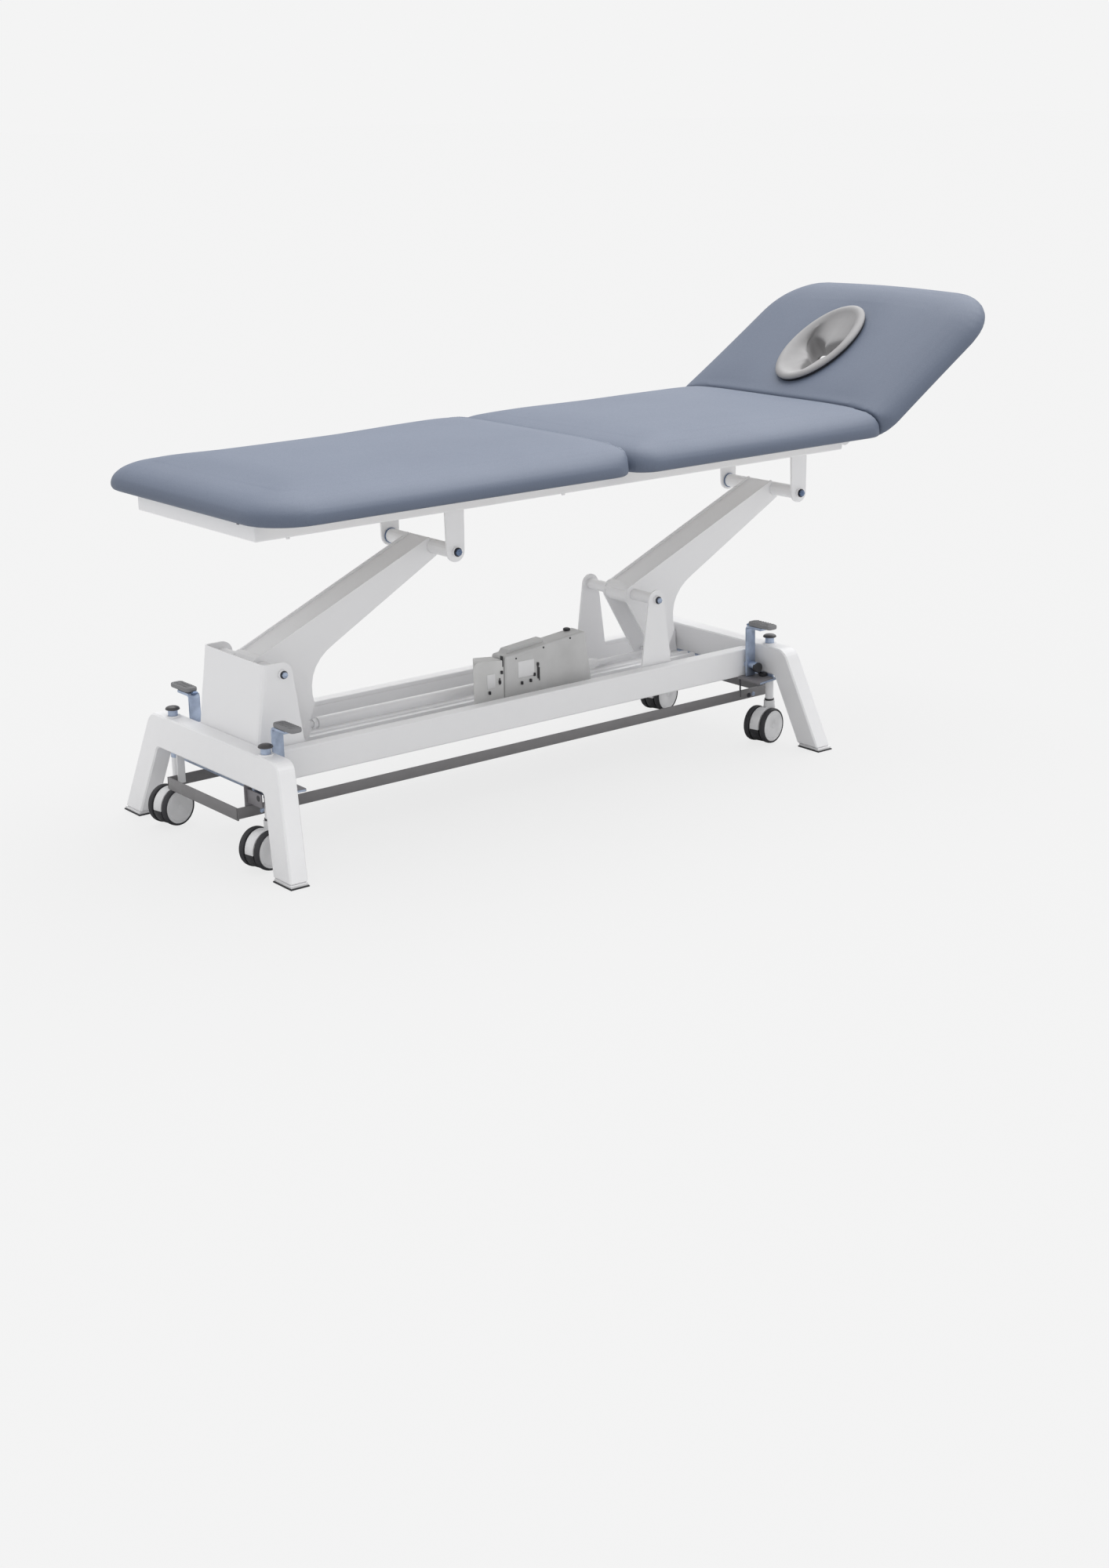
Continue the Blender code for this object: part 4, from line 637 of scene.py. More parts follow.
def upholster(name, bm, axes, bottom, freedom, board, body, face=None, lip=None):
    """Remesh a cage, blow it up, press in the board's pocket and finish it as a cushion."""
    cover = as_object(name, bm)
    even = cover.modifiers.new("even", "REMESH")
    even.mode = "VOXEL"
    even.voxel_size = VOXEL
    swap_mesh(cover, evaluated_mesh(cover))
    blow_up(cover, freedom)
    start, end, half = board
    for point in cover.data.vertices:
        x, y, z = point.co
        if z < bottom + POCKET and start < x < end and abs(y) < half:
            point.co.z = bottom + POCKET
        if face:
            face(point.co)
        if lip:
            lip(point.co)
    soft = cover.modifiers.new("soft", "SUBSURF")
    soft.levels = 1
    soft.render_levels = soft.levels
    swap_mesh(cover, evaluated_mesh(cover))
    cover.data.transform(axes)
    cover.data.shade_smooth()
    cover.data.materials.clear()
    cover.data.materials.append(hide.material)
    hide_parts(name.replace("cover", "cushion"))
    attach(cover, body)
    print(name, "has", len(cover.data.vertices), "points")
    return cover


def rising(value, low, high):
    """0 below low, 1 above high, and a smooth rise between them."""
    share = min(1, max(0, (value - low) / (high - low)))
    return share * share * (3 - 2 * share)


def above_hem(spot, bottom):
    """No freedom at the stapled hem, and full freedom over it."""
    return rising(spot.z, bottom + 0.012, bottom + 0.040)


def off_face(distance):
    """No freedom at a flat seam face, and full freedom away from it."""
    return rising(distance, 0.004, 0.040)


# %% [markdown]
# ### The leg section
# The long cushion ends at the seam in a crisp upright edge. So its cage is upright at that end,
# runs on a little past the seam and is sliced off there. The foot end is rounded like a
# tabletop.

# %% Leg cushion
CUSHION_BOTTOM = 0.685
LEG_FOOT, LEG_FACE = -0.719, 0.1445
PAST_FACE = 0.008       # how far a sliced cage runs on past its flat face
SEAT_FACE, HINGE_X, HINGE_Z = 0.1495, 0.8565, 0.668
BOARD_INSET = 0.060
BOARD_AIR = 0.009
BOARD_HALF = CUSHION_HALF - BOARD_INSET + BOARD_AIR
home = axes_at(0, 0, 0)


def leg_freedom(spot):
    return above_hem(spot, CUSHION_BOTTOM) * off_face(LEG_FACE - spot.x)


def leg_face(spot):
    spot.x = min(spot.x, LEG_FACE - 0.0002)


cage = cushion_cage(LEG_FOOT + START_SMALLER, LEG_FACE + PAST_FACE, CUSHION_BOTTOM,
                    (0.105, 0.060), (False, True))
cage = sliced(cage, (LEG_FACE, 0, 0), (1, 0, 0))
leg_cover = upholster("leg_cover", cage, home, CUSHION_BOTTOM, leg_freedom,
                      (LEG_FOOT + BOARD_INSET - BOARD_AIR, LEG_FACE + 0.01, BOARD_HALF),
                      "leg", leg_face)

# %% [markdown]
# ### The seat section
# The seat has a broad rounded edge at the seam, which leaves room for the hinge knuckles. At
# the head crease its face leans back, so that the head section can tip up against it.

# %% Seat cushion
LEAN = math.radians(17.8)
CREASE_AIR = 0.0006


def crease_distance(spot, towards):
    """How far a point is from the leaning face through the head hinge."""
    x, z = (spot.x - HINGE_X, spot.z - HINGE_Z) if towards < 0 else (spot.x, spot.z)
    return towards * x * math.cos(LEAN) - z * math.sin(LEAN)


def press_back(spot, towards):
    """Keep a point on its own side of the leaning face."""
    beyond = CREASE_AIR - crease_distance(spot, towards)
    if beyond > 0:
        spot.x += towards * beyond * math.cos(LEAN)
        spot.z -= beyond * math.sin(LEAN)


def seat_freedom(spot):
    return (above_hem(spot, CUSHION_BOTTOM) * rising(spot.x - SEAT_FACE, 0.010, 0.045)
            * off_face(crease_distance(spot, -1)))


def seat_face(spot):
    spot.x = max(spot.x, SEAT_FACE + 0.0004)
    press_back(spot, -1)


cage = cushion_cage(SEAT_FACE + 0.0005, HINGE_X + PAST_FACE, CUSHION_BOTTOM, (0.060, 0.060),
                    (False, True))
cage = sliced(cage, (HINGE_X, 0, HINGE_Z), (math.cos(LEAN), 0, math.sin(LEAN)))
upholster("seat_cover", cage, home, CUSHION_BOTTOM, seat_freedom,
          (SEAT_FACE + BOARD_INSET - BOARD_AIR, HINGE_X - BOARD_INSET + BOARD_AIR, BOARD_HALF),
          "top", seat_face)

# %% [markdown]
# ### The head section
# The head cushion is made flat in its own axes, which start at its hinge and lean up by 33
# degrees. It has an oval hole for the face ring, cut before the remesh so that the cover rolls
# into it.

# %% Head cushion
HEAD_TILT = math.radians(33)
HEAD_LENGTH = 0.472
HEAD_BOTTOM = CUSHION_BOTTOM - HINGE_Z
HEAD_TOP = HEAD_BOTTOM + CUSHION_THICKNESS
RING_X, RING_LONG, RING_WIDE = 0.204, 0.134, 0.090
RING_NECK = 0.017
head_axes = (axes_at(HINGE_X, 0, HINGE_Z)
             @ Matrix.Rotation(-HEAD_TILT, 4, "Y"))


def oval(grow, steps=96):
    """The face ring's oval, grown on every side."""
    turns = [2 * math.pi * step / steps for step in range(steps)]
    return [Vector((RING_X + (RING_LONG + grow) * math.cos(a), (RING_WIDE + grow) * math.sin(a)))
            for a in turns]


def ring_distance(spot):
    """Roughly how far a point lies outside the face ring's oval."""
    across = Vector(((spot.x - RING_X) / RING_LONG, spot.y / RING_WIDE)).length
    return (across - 1) * (RING_LONG + RING_WIDE) / 2


def head_freedom(spot):
    return (above_hem(spot, HEAD_BOTTOM) * off_face(crease_distance(spot, 1))
            * rising(ring_distance(spot), -0.006, 0.030))


def head_face(spot):
    press_back(spot, 1)


def under_lip(spot):
    """Keep the crown under the face ring's lip."""
    if ring_distance(spot) < 0.012:
        spot.z = min(spot.z, HEAD_TOP - 0.0010)


cage = cushion_cage(-PAST_FACE, HEAD_LENGTH - START_SMALLER, HEAD_BOTTOM, (0.060, 0.135),
                    (True, False), 0.014)
cage = sliced(cage, (0, 0, 0), (-math.cos(LEAN), 0, math.sin(LEAN)))
blank = as_object("head_blank", cage)
punch = sheet(oval(-RING_NECK + 0.004), 0.3, Matrix.Translation((0, 0, -0.1)), 0.0001)
punch = as_object("punch", punch)
hole = blank.modifiers.new("hole", "BOOLEAN")
hole.operation = "DIFFERENCE"
hole.solver = "EXACT"
hole.object = punch
cage = bmesh.new()
cage.from_mesh(evaluated_mesh(blank))
bpy.data.objects.remove(blank)
bpy.data.objects.remove(punch)
upholster("head_cover", cage, head_axes, HEAD_BOTTOM, head_freedom,
          (0.034 - BOARD_AIR, HEAD_LENGTH - BOARD_INSET + BOARD_AIR, BOARD_HALF),
          "head", head_face, under_lip)

# %% [markdown]
# ### Stitching at the seam
# A row of stitches closes the leg cover just behind its crisp edge. Each stitch is a short
# thread that lies in the vinyl. Placing it by eye would leave some floating, so a ray dropped on
# the finished cover finds the surface under each end.

# %% Seam stitches
STITCH, PITCH = 0.0056, 0.0092
ROW_X = LEG_FACE - 0.0085

cover = leg_cover.data
surface = BVHTree.FromPolygons([point.co for point in cover.vertices],
                               [face.vertices for face in cover.polygons])
stitches = []
count = int(2 * (CUSHION_HALF - 0.020) / PITCH)
for index in range(count):
    y = (index - (count - 1) / 2) * PITCH
    ends = []
    for side in (-1, 1):
        hit = surface.ray_cast(place(ROW_X, y + side * STITCH / 2, 0.9), Vector((0, 0, -1)))[0]
        ends.append(hit + Vector((0, 0, 0.0002)) if hit else None)
    if all(ends):
        stitches.append(rod(ends[0], ends[1], 0.0006, 0.0003, 8))
print("stitches:", len(stitches))
add_piece("seam_stitches", joined(*stitches), thread, "leg", sharp=60)

# %% [markdown]
# ## Face ring
# A moulded ring fills the breathing hole: a proud rounded lip, a shallow dish, and an opening
# with two lobes for the cheeks and a narrow slot for the chin. Both the lip's oval and the
# opening are outlines with the same number of points, so every ring between them is a mix of
# the two, and the height falls as the mix goes inwards.

# %% Face ring
HEAD_BASE = 0.0153
OPENING = ((0.015, 0), (0.034, 22), (0.052, 37), (0.069, 47), (0.078, 53), (0.076, 61),
           (0.062, 70), (0.044, 86), (0.030, 112), (0.029, 142), (0.040, 160), (0.056, 170),
           (0.067, 176), (0.070, 180))     # radius and angle, from the notch at the brow
OPENING_X = 0.192


def opening(grow=0.0, steps=96):
    """The opening's outline: its radius is read from the list at each angle."""
    points = []
    for step in range(steps):
        turn = 360 * step / steps
        angle = min(turn, 360 - turn)
        for (near, low), (far, high) in zip(OPENING, OPENING[1:]):
            if low <= angle <= high:
                radius = near + (far - near) * rising(angle, low, high)
        turn = math.radians(turn)
        points.append(Vector((math.cos(turn), math.sin(turn))) * (radius + grow))
    for _ in range(2):
        points = [(points[i - 1] + points[i] * 2 + points[(i + 1) % steps]) / 4
                  for i in range(steps)]
    return [point + Vector((OPENING_X, 0)) for point in points]


LIP_TOP = HEAD_TOP + 0.0115
LIP_UNDER = HEAD_TOP + 0.0015
rings = [(oval(-RING_NECK), LIP_UNDER), (oval(-0.004), LIP_UNDER), (oval(-0.0008), 0.0868),
         (oval(0.0), 0.0892), (oval(-0.0016), 0.0922), (oval(-0.0055), 0.0946),
         (oval(-0.0110), LIP_TOP), (oval(-0.0165), 0.0945), (oval(-0.0220), 0.0915)]
rim, inner = oval(-0.0265), opening(0.002)
for share, height in ((0.0, 0.0885), (0.2, 0.0845), (0.4, 0.0805), (0.6, 0.0772), (0.8, 0.0745),
                      (0.93, 0.0722), (1.0, 0.0695)):
    mix = [start.lerp(end, share) for start, end in zip(rim, inner)]
    rings.append((mix, height))
rings += [(opening(0.0008), 0.0650), (opening(0.0), 0.0450), (opening(0.002), HEAD_BASE),
          (oval(-RING_NECK), HEAD_BASE)]
face_rest = add_piece("face_rest", banded(rings, head_axes), ring_shell, "head",
                      ("face_ring",), 50)
# A black band under the lip is painted shadow: it stands for the shade in the gap under the proud
# lip.
band = [(oval(-0.0030), LIP_UNDER - 0.0050), (oval(-0.0030), LIP_UNDER + 0.0004),
        (oval(-0.0100), LIP_UNDER + 0.0004), (oval(-0.0100), LIP_UNDER - 0.0050)]
add_piece("face_lip_shadow", banded(band, head_axes), black_plastic, "head")
print("face rest has", len(face_rest.data.polygons), "faces")

# %% [markdown]
# ## Castors
# Each castor has two wheels on one axle, with a pale hood between them that keeps threads out.
# The wheel has a rubber tyre with rounded shoulders round a pale plastic disc. Both are turned,
# so a list of radii and heights is the whole drawing. Each castor stands turned by 12 degrees,
# as the CAD has it.

# %% Castor pieces
STEM_X, STEM_Y = 0.656, 0.184
TYRE = ((0.0345, 0.0150), (0.0384, 0.0150), (0.0396, 0.0162), (0.0400, 0.0185),
        (0.0400, 0.0225), (0.0396, 0.0250), (0.0387, 0.0272), (0.0374, 0.0283),
        (0.0362, 0.0284), (0.0354, 0.0280), (0.0350, 0.0270), (0.0345, 0.0250))
HOOD_CORE = ((0, -0.0110), (0.0240, -0.0110), (0.0250, -0.0100), (0.0250, 0.0100),
             (0.0240, 0.0110), (0, 0.0110))
STEM_BOSS = ((0, 0.050), (0.0135, 0.050), (0.0135, 0.078), (0.0125, 0.082), (0.0125, 0.0930),
             (0.0115, 0.0940), (0, 0.0940))
DISC = ((0, 0.0282), (0.0050, 0.0282), (0.0056, 0.0277), (0.0064, 0.0277), (0.0070, 0.0281),
        (0.0290, 0.0279), (0.0296, 0.0273), (0.0304, 0.0273), (0.0310, 0.0279),
        (0.0340, 0.0278), (0.0352, 0.0268), (0.0352, 0.0156), (0, 0.0156))


def fan(radius, first, last, steps, small=0.012):
    """A ring segment's outline in degrees, from the wheel's front over its top."""
    turns = [math.radians(first + (last - first) * step / steps) for step in range(steps + 1)]
    outer = [(radius * math.cos(a), -radius * math.sin(a)) for a in turns]
    return outer + [(small * math.cos(a), -small * math.sin(a)) for a in reversed(turns)]


for name, _, way, across in CORNERS:
    castor = (axes_at(way * STEM_X, across * STEM_Y, 0)
              @ Matrix.Rotation(math.radians(12), 4, "Z"))
    axle = (castor @ Matrix.Translation((-0.022, 0, 0.042))
            @ Matrix.Rotation(math.radians(-90), 4, "X"))
    pairs = [joined(turned(profile, axle, 64, closed),
                    turned([(r, -h) for r, h in profile], axle, 64, closed))
             for profile, closed in ((TYRE, True), (DISC, False))]
    wheels = "castor_wheels_" + name
    add_piece("castor_tyres_" + name, pairs[0], rubber, wheels, (wheels,))
    add_piece("castor_discs_" + name, pairs[1], pale_shell, wheels)
    hood = sheet(fan(0.0380, -30, 187, 48), 0.0230, axle @ Matrix.Translation((0, 0, -0.0115)))
    body = "castor_hood_" + name
    hood = joined(hood, turned(HOOD_CORE, axle, 64), turned(STEM_BOSS, castor))
    add_piece("castor_cover_" + name, hood, pale_shell, body, (body,))
    # Below the hood, a black wedge fills the lower part between the wheels.
    low_wedge = sheet(fan(0.0386, 188, 262, 16, 0.022), 0.0240,
                  axle @ Matrix.Translation((0, 0, -0.0120)), 0.0015)
    add_piece("castor_low_wedge_" + name, low_wedge, black_plastic, body)
print("castors dressed")

# %% [markdown]
# ## Castor yokes
# At each end a flat plated bar ties two stems together, and a gusset under each stem's plate
# keeps it upright. The stems are plated where they stand above the crossbar and painted below
# it. A dark domed cap closes the top of each stem, and a grey plate covers each gusset.

# %% Yokes, stems and covers
BAR_HALF, BAR_LOW, BAR_HIGH = 0.004, 0.141, 0.155
STEM = ((0, 0.1400), (0.0100, 0.1400), (0.0100, 0.2405), (0, 0.2405))
LOWER_STEM = ((0, 0.0950), (0.0088, 0.0950), (0.0094, 0.0958), (0.0094, 0.1412), (0, 0.1412))
STEM_RING = ((0.0090, 0.0946), (0.0104, 0.0946), (0.0108, 0.0952), (0.0108, 0.0976),
             (0.0104, 0.0982), (0.0090, 0.0982))
STEM_CAP = ((0.0098, 0.2406), (0.0142, 0.2406), (0.0150, 0.2412), (0.0149, 0.2424),
            (0.0136, 0.2448), (0.0100, 0.2466), (0.0048, 0.2474), (0, 0.2476))


def gussets(stems, start, half, reach, far_half, low, thickness):
    """A plate at each stem that widens towards the table's middle."""
    outline = [(start, -half), (start, half), (reach, far_half), (reach, -far_half)]
    return [sheet(outline, thickness, stem @ Matrix.Translation((0, 0, low)), 0.0006)
            for stem in stems]


for end, way in ENDS:
    lift = "castor_lift_" + end
    x = way * STEM_X
    stems = [axes_at(x, across * STEM_Y, 0) for _, across in SIDES]
    bar = block((x - BAR_HALF, -STEM_Y, BAR_LOW), (x + BAR_HALF, STEM_Y, BAR_HIGH), 0.0008)
    plates = gussets(stems, 0, 0.028, -way * 0.062, 0.038, 0.1475, 0.004)
    covers = gussets(stems, -way * 0.012, 0.026, -way * 0.0635, 0.037, 0.1474, 0.0062)
    add_piece("yoke_" + end, joined(bar, *plates, *(turned(STEM, stem) for stem in stems)), zinc,
              lift, (lift,))
    add_piece("gusset_covers_" + end, joined(*covers), cover_coat, lift)
    for name, profile, closed, finish, slot in (
            ("lower_stems_", LOWER_STEM, False, white_coat, "white_paint"),
            ("stem_rings_", STEM_RING, True, black_plastic, "black_rubber"),
            ("stem_caps_", STEM_CAP, False, cap_plastic, "black_rubber")):
        add_piece(name + end, joined(*(turned(profile, stem, closed=closed) for stem in stems)),
                  finish, lift)
print("yokes dressed")

# %% [markdown]
# ## Pedals
# A pedal is one strip of plated steel: it hangs beside the rail, bends outwards at the top and
# carries a ribbed rubber pad there. Its hub turns on the rail's stud. A black knob closes the
# hub, and a short link ties it to the yoke. The strip's side view is an outline with a round
# bend, and the pad is a rounded slab with low ribs set on it.

# %% Pedal strips, pads and knobs
PEDAL_X, PEDAL_Z = 0.6165, 0.180
STRIP_IN, STRIP_OUT, STRIP_TOP = 0.160, 0.166, 0.272
STRIP_FOOT, STRIP_REACH, STRIP_WIDE = 0.154, 0.210, 0.025
BEND_Y, BEND_Z = 0.170, 0.262
BEND_REFLECTION_DOME = ((0, 0.0042), (0.0040, 0.0038), (0.0066, 0.0022), (0.0074, 0), (0, 0))
KNOB = ((0, 0), (0.0106, 0), (0.0113, 0.0007), (0.0113, 0.0085), (0.0103, 0.0098), (0, 0.0100))
STOP = ((0, 0), (0.0060, 0), (0.0066, 0.0006), (0.0066, 0.0104), (0.0058, 0.0116), (0, 0.0118))
RIBS, RIB_PITCH = 7, 0.008


def rounded_slab(length, width, corner, steps=6):
    """A rectangle's outline with round corners, about its own middle."""
    outline = []
    for x, y, first in ((1, 1, 0), (-1, 1, 90), (-1, -1, 180), (1, -1, 270)):
        middle = Vector((x * (length / 2 - corner), y * (width / 2 - corner)))
        for step in range(steps + 1):
            turn = math.radians(first + 90 * step / steps)
            outline.append(middle + Vector((math.cos(turn), math.sin(turn))) * corner)
    return outline


def bend(radius, angles):
    turns = [math.radians(angle) for angle in angles]
    return [(BEND_Y - radius * math.cos(a), BEND_Z + radius * math.sin(a)) for a in turns]


STRIP = [(STRIP_IN, STRIP_FOOT), *bend(BEND_Y - STRIP_IN, range(0, 91, 15)),
         (STRIP_REACH, STRIP_TOP), (STRIP_REACH, STRIP_TOP - STRIP_OUT + STRIP_IN),
         *bend(BEND_Y - STRIP_OUT, range(90, -1, -15)), (STRIP_OUT, STRIP_FOOT)]
sideways = Matrix(((0, 0, 1, 0), (1, 0, 0, 0), (0, 1, 0, 0), (0, 0, 0, 1)))

for name, end, way, across in CORNERS:
    pedal = "pedal_" + name
    x = way * PEDAL_X
    out = Vector((0, across, 0))
    outline = [(across * y, z) for y, z in STRIP]
    strip = sheet(outline, STRIP_WIDE,
                  axes_at(x - STRIP_WIDE / 2, 0, 0) @ sideways, 0.0012)
    hub = rod(place(x, across * 0.1512, PEDAL_Z), place(x, across * 0.1860, PEDAL_Z), 0.0085)
    add_piece("pedal_strip_" + name, joined(strip, hub), zinc, pedal, (pedal,))
    slabs = [sheet(rounded_slab(0.027, 0.073, 0.0085), 0.0098,
                   axes_at(x, across * 0.2035, 0.2723), 0.0028)]
    for step in range(RIBS):
        y = across * (0.1795 + step * RIB_PITCH)
        slabs.append(block((x - 0.0105, y - 0.0014, 0.2812), (x + 0.0105, y + 0.0014, 0.2832),
                           0.0006))
    add_piece("ribbed_pad_" + name, joined(*slabs), tread_grey, pedal,
              ("pedal_pad_" + name,), 40)
    # The blued dome on the strip's bend is painted reflection: it stands for the darker blue
    # reflection on the bent corner.
    bend_reflection_dome = turned(BEND_REFLECTION_DOME, axes_at(x - way * 0.002, across * 0.1630, 0.2710))
    add_piece("pedal_bend_reflection_dome_" + name, bend_reflection_dome, blued_steel, pedal)
    knob = turned(KNOB, facing(place(x + way * 0.001, across * 0.1815, 0.1765), out))
    add_piece("pedal_knob_" + name, knob, black_plastic, pedal)
    hub = place(x + way * 0.004, across * 0.1790, 0.1720)
    tip = place(x + way * 0.0191, across * 0.1790, 0.1560)
    stop = turned(STOP, facing(tip, out))
    lean = (tip - hub).to_track_quat("X", "Z").to_matrix().to_4x4()
    link = sheet([(0, -0.001), (0.022, -0.001), (0.022, 0.001), (0, 0.001)], 0.007,
                 Matrix.Translation(hub) @ lean @ Matrix.Translation((0, 0, -0.0035)), 0.0004)
    add_piece("pedal_link_" + name, joined(stop, link), black_plastic,
              "castor_lift_" + end)
print("pedals dressed")

# %% [markdown]
# ## Feet
# Each leg stands in a thin rubber shoe with a pale collar over it. The CAD has one plain pad
# there, whose box gives both layers their place.

# %% Shoes
for name, *_ in CORNERS:
    low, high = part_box("foot_pad_" + name)
    sole_top = low[2] + 0.0030
    sole = slab(low, (high[0], high[1], sole_top), 0.0009)
    collar = slab((low[0] + 0.0022, low[1] + 0.0022, sole_top),
                  (high[0] - 0.0022, high[1] - 0.0022, high[2]), 0.0006)
    add_piece("shoe_sole_" + name, sole, rubber, "base",
              ("foot_pad_" + name,))
    add_piece("shoe_collar_" + name, collar, pale_shell, "base")
print("shoes ready")

# %% [markdown]
# ## Switch bar
# The bar round the base is a ring of flat steel strip with square corners. The two long strips
# run through, and the short ones hang a little lower where they meet them. It carries two
# screws on each side, and a thin rod up to the lift at the head end.

# %% Switch bar ring
low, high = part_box("switch_bar")
STRIP_SHEET = 0.003
strips = [slab((low[0], y, low[2]), (high[0], y + STRIP_SHEET, high[2]), 0.0006)
          for y in (low[1], high[1] - STRIP_SHEET)]
strips += [slab((x, low[1] - 0.0004, low[2] - 0.0030),
                (x + STRIP_SHEET, high[1] + 0.0004, high[2]), 0.0006)
           for x in (low[0], high[0] - STRIP_SHEET)]
add_piece("switch_ring", joined(*strips), bar_coat, "switch_bar", ("switch_bar",))


def bolt(spot, axis, radius, washer=1.35):
    """A domed bolt head with a socket, on a washer, standing on a face."""
    return turned(((0, radius * 0.30), (radius * 0.42, radius * 0.30),
                   (radius * 0.48, radius * 0.60), (radius * 0.75, radius * 0.55),
                   (radius * 0.97, radius * 0.32), (radius, radius * 0.14),
                   (radius * washer, radius * 0.13), (radius * washer, 0), (0, 0)),
                  facing(spot, axis), 24)


dark_screws, bright_screws, rods = [], [], []
for _, end, way, across in CORNERS:
    y = across * 0.1400
    dark_screws.append(bolt(place(way * 0.634, y, 0.1000), (0, across, 0), 0.0042))
    bright_screws.append(bolt(place(way * 0.647, y, 0.1010), (0, across, 0), 0.0036))
    if end == "head":
        rods.append(rod(place(0.6085, across * 0.1385, 0.1000),
                        place(0.6085, across * 0.1385, 0.1475), 0.0019, 0.0004))
add_piece("switch_screws", joined(*dark_screws, *rods), dark_steel, "switch_bar")
add_piece("switch_pins", joined(*bright_screws), zinc, "switch_bar")
print("switch bar dressed")

# %% [markdown]
# ### Foot plate
# Under the near foot corner a dark plate faces outwards beside the bar's hanger. Its round
# hole is drawn as a black disc, painted shade for the hole's inside.

# %% Plate with a hole
plate = block((-0.6760, -0.1900, 0.1220), (-0.6730, -0.1350, 0.1500), 0.0008)
add_piece("foot_plate", plate, cover_coat, "base")
# The black disc is painted shade: it stands for the dark inside of the plate's round hole.
hole_shade = rod(place(-0.6764, -0.1790, 0.1400), place(-0.6726, -0.1790, 0.1400), 0.0062, 0.0004)
add_piece("foot_plate_hole_shade", hole_shade, black_plastic, "base")
nodes["bar_hanger_foot_near"].material_slots[0].material = cover_coat.material
print("foot plate ready")

# %% [markdown]
# ## Fasteners
# Bolts are what make a steel frame look made. The pivots' heads are plated, each on a dark
# washer, and the upper shafts turn in thin dark bushes.

# %% Pivot bolts and bushes
def hexagon(radius):
    turns = [math.radians(60 * step) for step in range(6)]
    return [(radius * math.cos(a), radius * math.sin(a)) for a in turns]


def pivot_head(x, z, y, size):
    """A dark washer and a hexagon head with a domed end, over a pivot's plain head."""
    out = Vector((0, math.copysign(1, y), 0))
    axes = facing(place(x, y, z), out)
    washer = turned(((0, 0), (size * 1.22, 0), (size * 1.28, 0.0004), (size * 1.28, 0.0014),
                     (0, 0.0014)), axes)
    head = joined(sheet(hexagon(size), 0.0055, axes @ Matrix.Translation((0, 0, 0.0012)), 0.0007),
                  turned(((0, 0.0086), (0.0022, 0.0082), (0.0040, 0.0068), (0.0040, 0.0060),
                          (0, 0.0060)), axes, 24))
    return washer, head


LOWER_PIVOTS = ((-0.571, 0.3575), (0.381, 0.3575))
UPPER_PIVOTS = ((-0.151, 0.541), (0.801, 0.541))
for body, size, head_finish, pivots, outer in (
        ("base", 0.0064, zinc, LOWER_PIVOTS, 0.1240),
        ("top", 0.0074, blued_steel, UPPER_PIVOTS, 0.1276)):
    washers, heads = [], []
    for x, z in pivots:
        for across in (-1, 1):
            washer, head = pivot_head(x, z, across * outer, size)
            washers.append(washer)
            heads.append(head)
    add_piece("pivot_washers_" + body, joined(*washers), dark_steel, body)
    add_piece("pivot_heads_" + body, joined(*heads), head_finish, body)
for (near, across), finish, slot in zip(SIDES, (dark_steel, blued_steel),
                                        ("grey_paint", "zinc_steel")):
    bushes = [rod(place(x, across * 0.1160, z), place(x, across * 0.1125, z), 0.0163)
              for x, z in UPPER_PIVOTS]
    add_piece(near + "_bushes", joined(*bushes), finish, "top")
print("pivots dressed")

# %% [markdown]
# ## Control boxes
# The two moulded boxes are joined by a dark gap. Each has a pale blank plate where its leads
# plug in, with small dark plugs round it, and three dark screws hold the larger lid. A low knob
# sits on its top edge. The plates stay blank.

# %% Box fittings
FRONT = -0.0876
screws = [bolt(place(x, FRONT, z), (0, -1, 0), 0.0021, 1.15)
          for x, z in ((0.0175, 0.2822), (0.0909, 0.2937), (0.1633, 0.3022))]
leads = [rod(place(x, FRONT - 0.002, high), place(x, FRONT - 0.002, low), radius)
         for x, high, low, radius in ((0.0736, 0.2620, 0.2290, 0.0014),
                                      (0.0770, 0.2540, 0.2240, 0.0010),
                                      (-0.0277, 0.2480, 0.2330, 0.0013))]
plugs = [block((x - 0.0022, FRONT - 0.0045, z - 0.0035), (x + 0.0022, FRONT + 0.001, z + 0.0035),
               0.0006)
         for x, z in ((0.0304, 0.2270), (0.0537, 0.2285), (0.0640, 0.2400), (0.0736, 0.2610),
                      (-0.0277, 0.2390), (-0.0547, 0.2200), (-0.0221, 0.2592))]
slot = block((-0.0190, -0.0886, 0.2700), (-0.0165, -0.0800, 0.2930), 0.0005)
knob = turned(((0, 0.0090), (0.0040, 0.0088), (0.0070, 0.0076), (0.0080, 0.0050),
               (0.0074, 0.0032), (0.0050, 0.0028), (0.0050, 0), (0, 0)),
              axes_at(0.183, -0.050, 0.3070), 32)
add_piece("box_blacks", joined(*screws, *leads, *plugs, slot, knob), black_plastic, "base")
plates = [block((left, FRONT - 0.0018, low), (right, FRONT + 0.001, high), 0.0006)
          for left, right, low, high in ((0.0215, 0.0642, 0.2390, 0.2740),
                                           (-0.0600, -0.0390, 0.2290, 0.2590))]
add_piece("box_plates", joined(*plates), pale_shell, "base")
print("boxes ready")

# %% [markdown]
# ### Small things on the top frame
# Two small tabs hang under the near tube where accessories clip on, and two dark staples show
# under the foot end of the leg cushion.

# %% Tabs and staples
tabs = [block((x - 0.004, -0.2268, 0.6448), (x + 0.004, -0.2240, 0.6490), 0.0008)
        for x in (-0.6044, 0.0467)]
add_piece("tube_tabs", joined(*tabs), white_coat, "top")
staples = [block((x - 0.0012, y - 0.0035, 0.6838), (x + 0.0012, y + 0.0035, 0.6856), 0.0004)
           for x, y in ((-0.7010, -0.2116), (-0.6940, -0.2183))]
add_piece("hem_staples", joined(*staples), dark_steel, "leg")
print("top frame dressed")

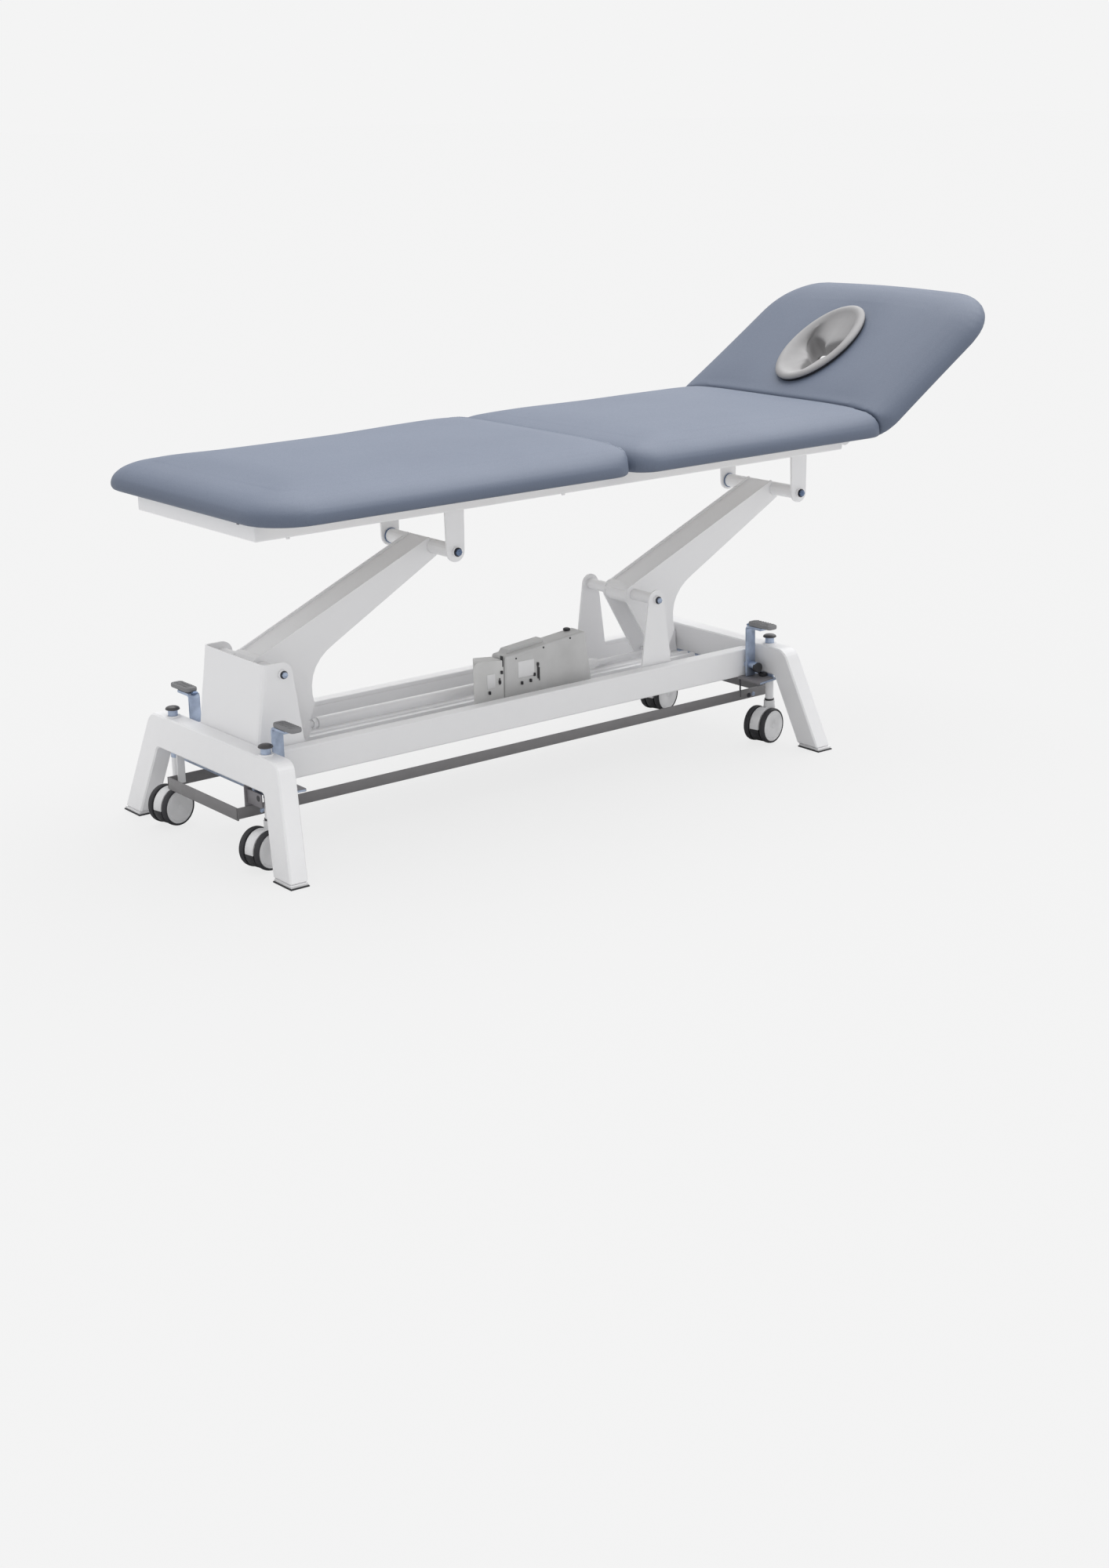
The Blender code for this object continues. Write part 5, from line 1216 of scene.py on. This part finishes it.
# %% [markdown]
# ## Studio
# The photograph is a catalogue cut-out on pale grey, with hardly a shadow. A pale floor takes
# the soft contact shadows, and the camera sees the same grey above its horizon. The light is a
# white room with a very wide, soft lamp high above the far head corner. It is a sun lamp,
# because that lights the whole floor evenly, and its great width keeps every shadow edge soft.

# %% Floor, room light and lamp
PAPER_GREY = rgba(0.905, 0.905, 0.905)
PAPER_GLOW = 0.86       # share of the floor's look that no shadow changes
ROOM_STRENGTH, LAMP_STRENGTH, LAMP_WIDTH = 0.80, 3.0, math.radians(70)

bpy.context.scene.view_settings.view_transform = "Standard"
bm = bmesh.new()
bmesh.ops.create_circle(bm, cap_ends=True, segments=64, radius=60)
floor = as_object("floor", bm)
floor.location.z = -0.0005

paper = Finish("floor_paper", Base_Color=rgba(0.54, 0.54, 0.54), Roughness=1.0,
               Specular_IOR_Level=0.0)
seen = paper.node("ShaderNodeLightPath").out("Is Camera Ray")
glow = paper.node("ShaderNodeEmission", None, {"Color": PAPER_GREY})
paper.show(paper.node("ShaderNodeMixShader", None,
                      {0: seen * PAPER_GLOW, 1: Wire(paper.shader.outputs[0]), 2: glow}))
floor.data.materials.append(paper.material)

world = bpy.data.worlds.new("room")
bpy.context.scene.world = world
world.use_nodes = True
room = Nodes(world.node_tree)
seen = room.node("ShaderNodeLightPath").out("Is Camera Ray")
light = room.node("ShaderNodeBackground", None,
                  {"Color": rgba(1, 1, 1), "Strength": ROOM_STRENGTH})
backdrop = room.node("ShaderNodeBackground", None, {"Color": PAPER_GREY})
room.show(room.node("ShaderNodeMixShader", None, {0: seen, 1: light, 2: backdrop}))

sun = bpy.data.lights.new("overhead_lamp", "SUN")
sun.energy = LAMP_STRENGTH
sun.angle = LAMP_WIDTH
lamp = bpy.data.objects.new("overhead_lamp", sun)
lamp.rotation_euler = Vector((0.50, 0.22, 1.0)).to_track_quat("Z", "Y").to_euler()
lamp.location = (0.5, 0.9, 3.0)
bpy.context.scene.collection.objects.link(lamp)
print("studio ready")
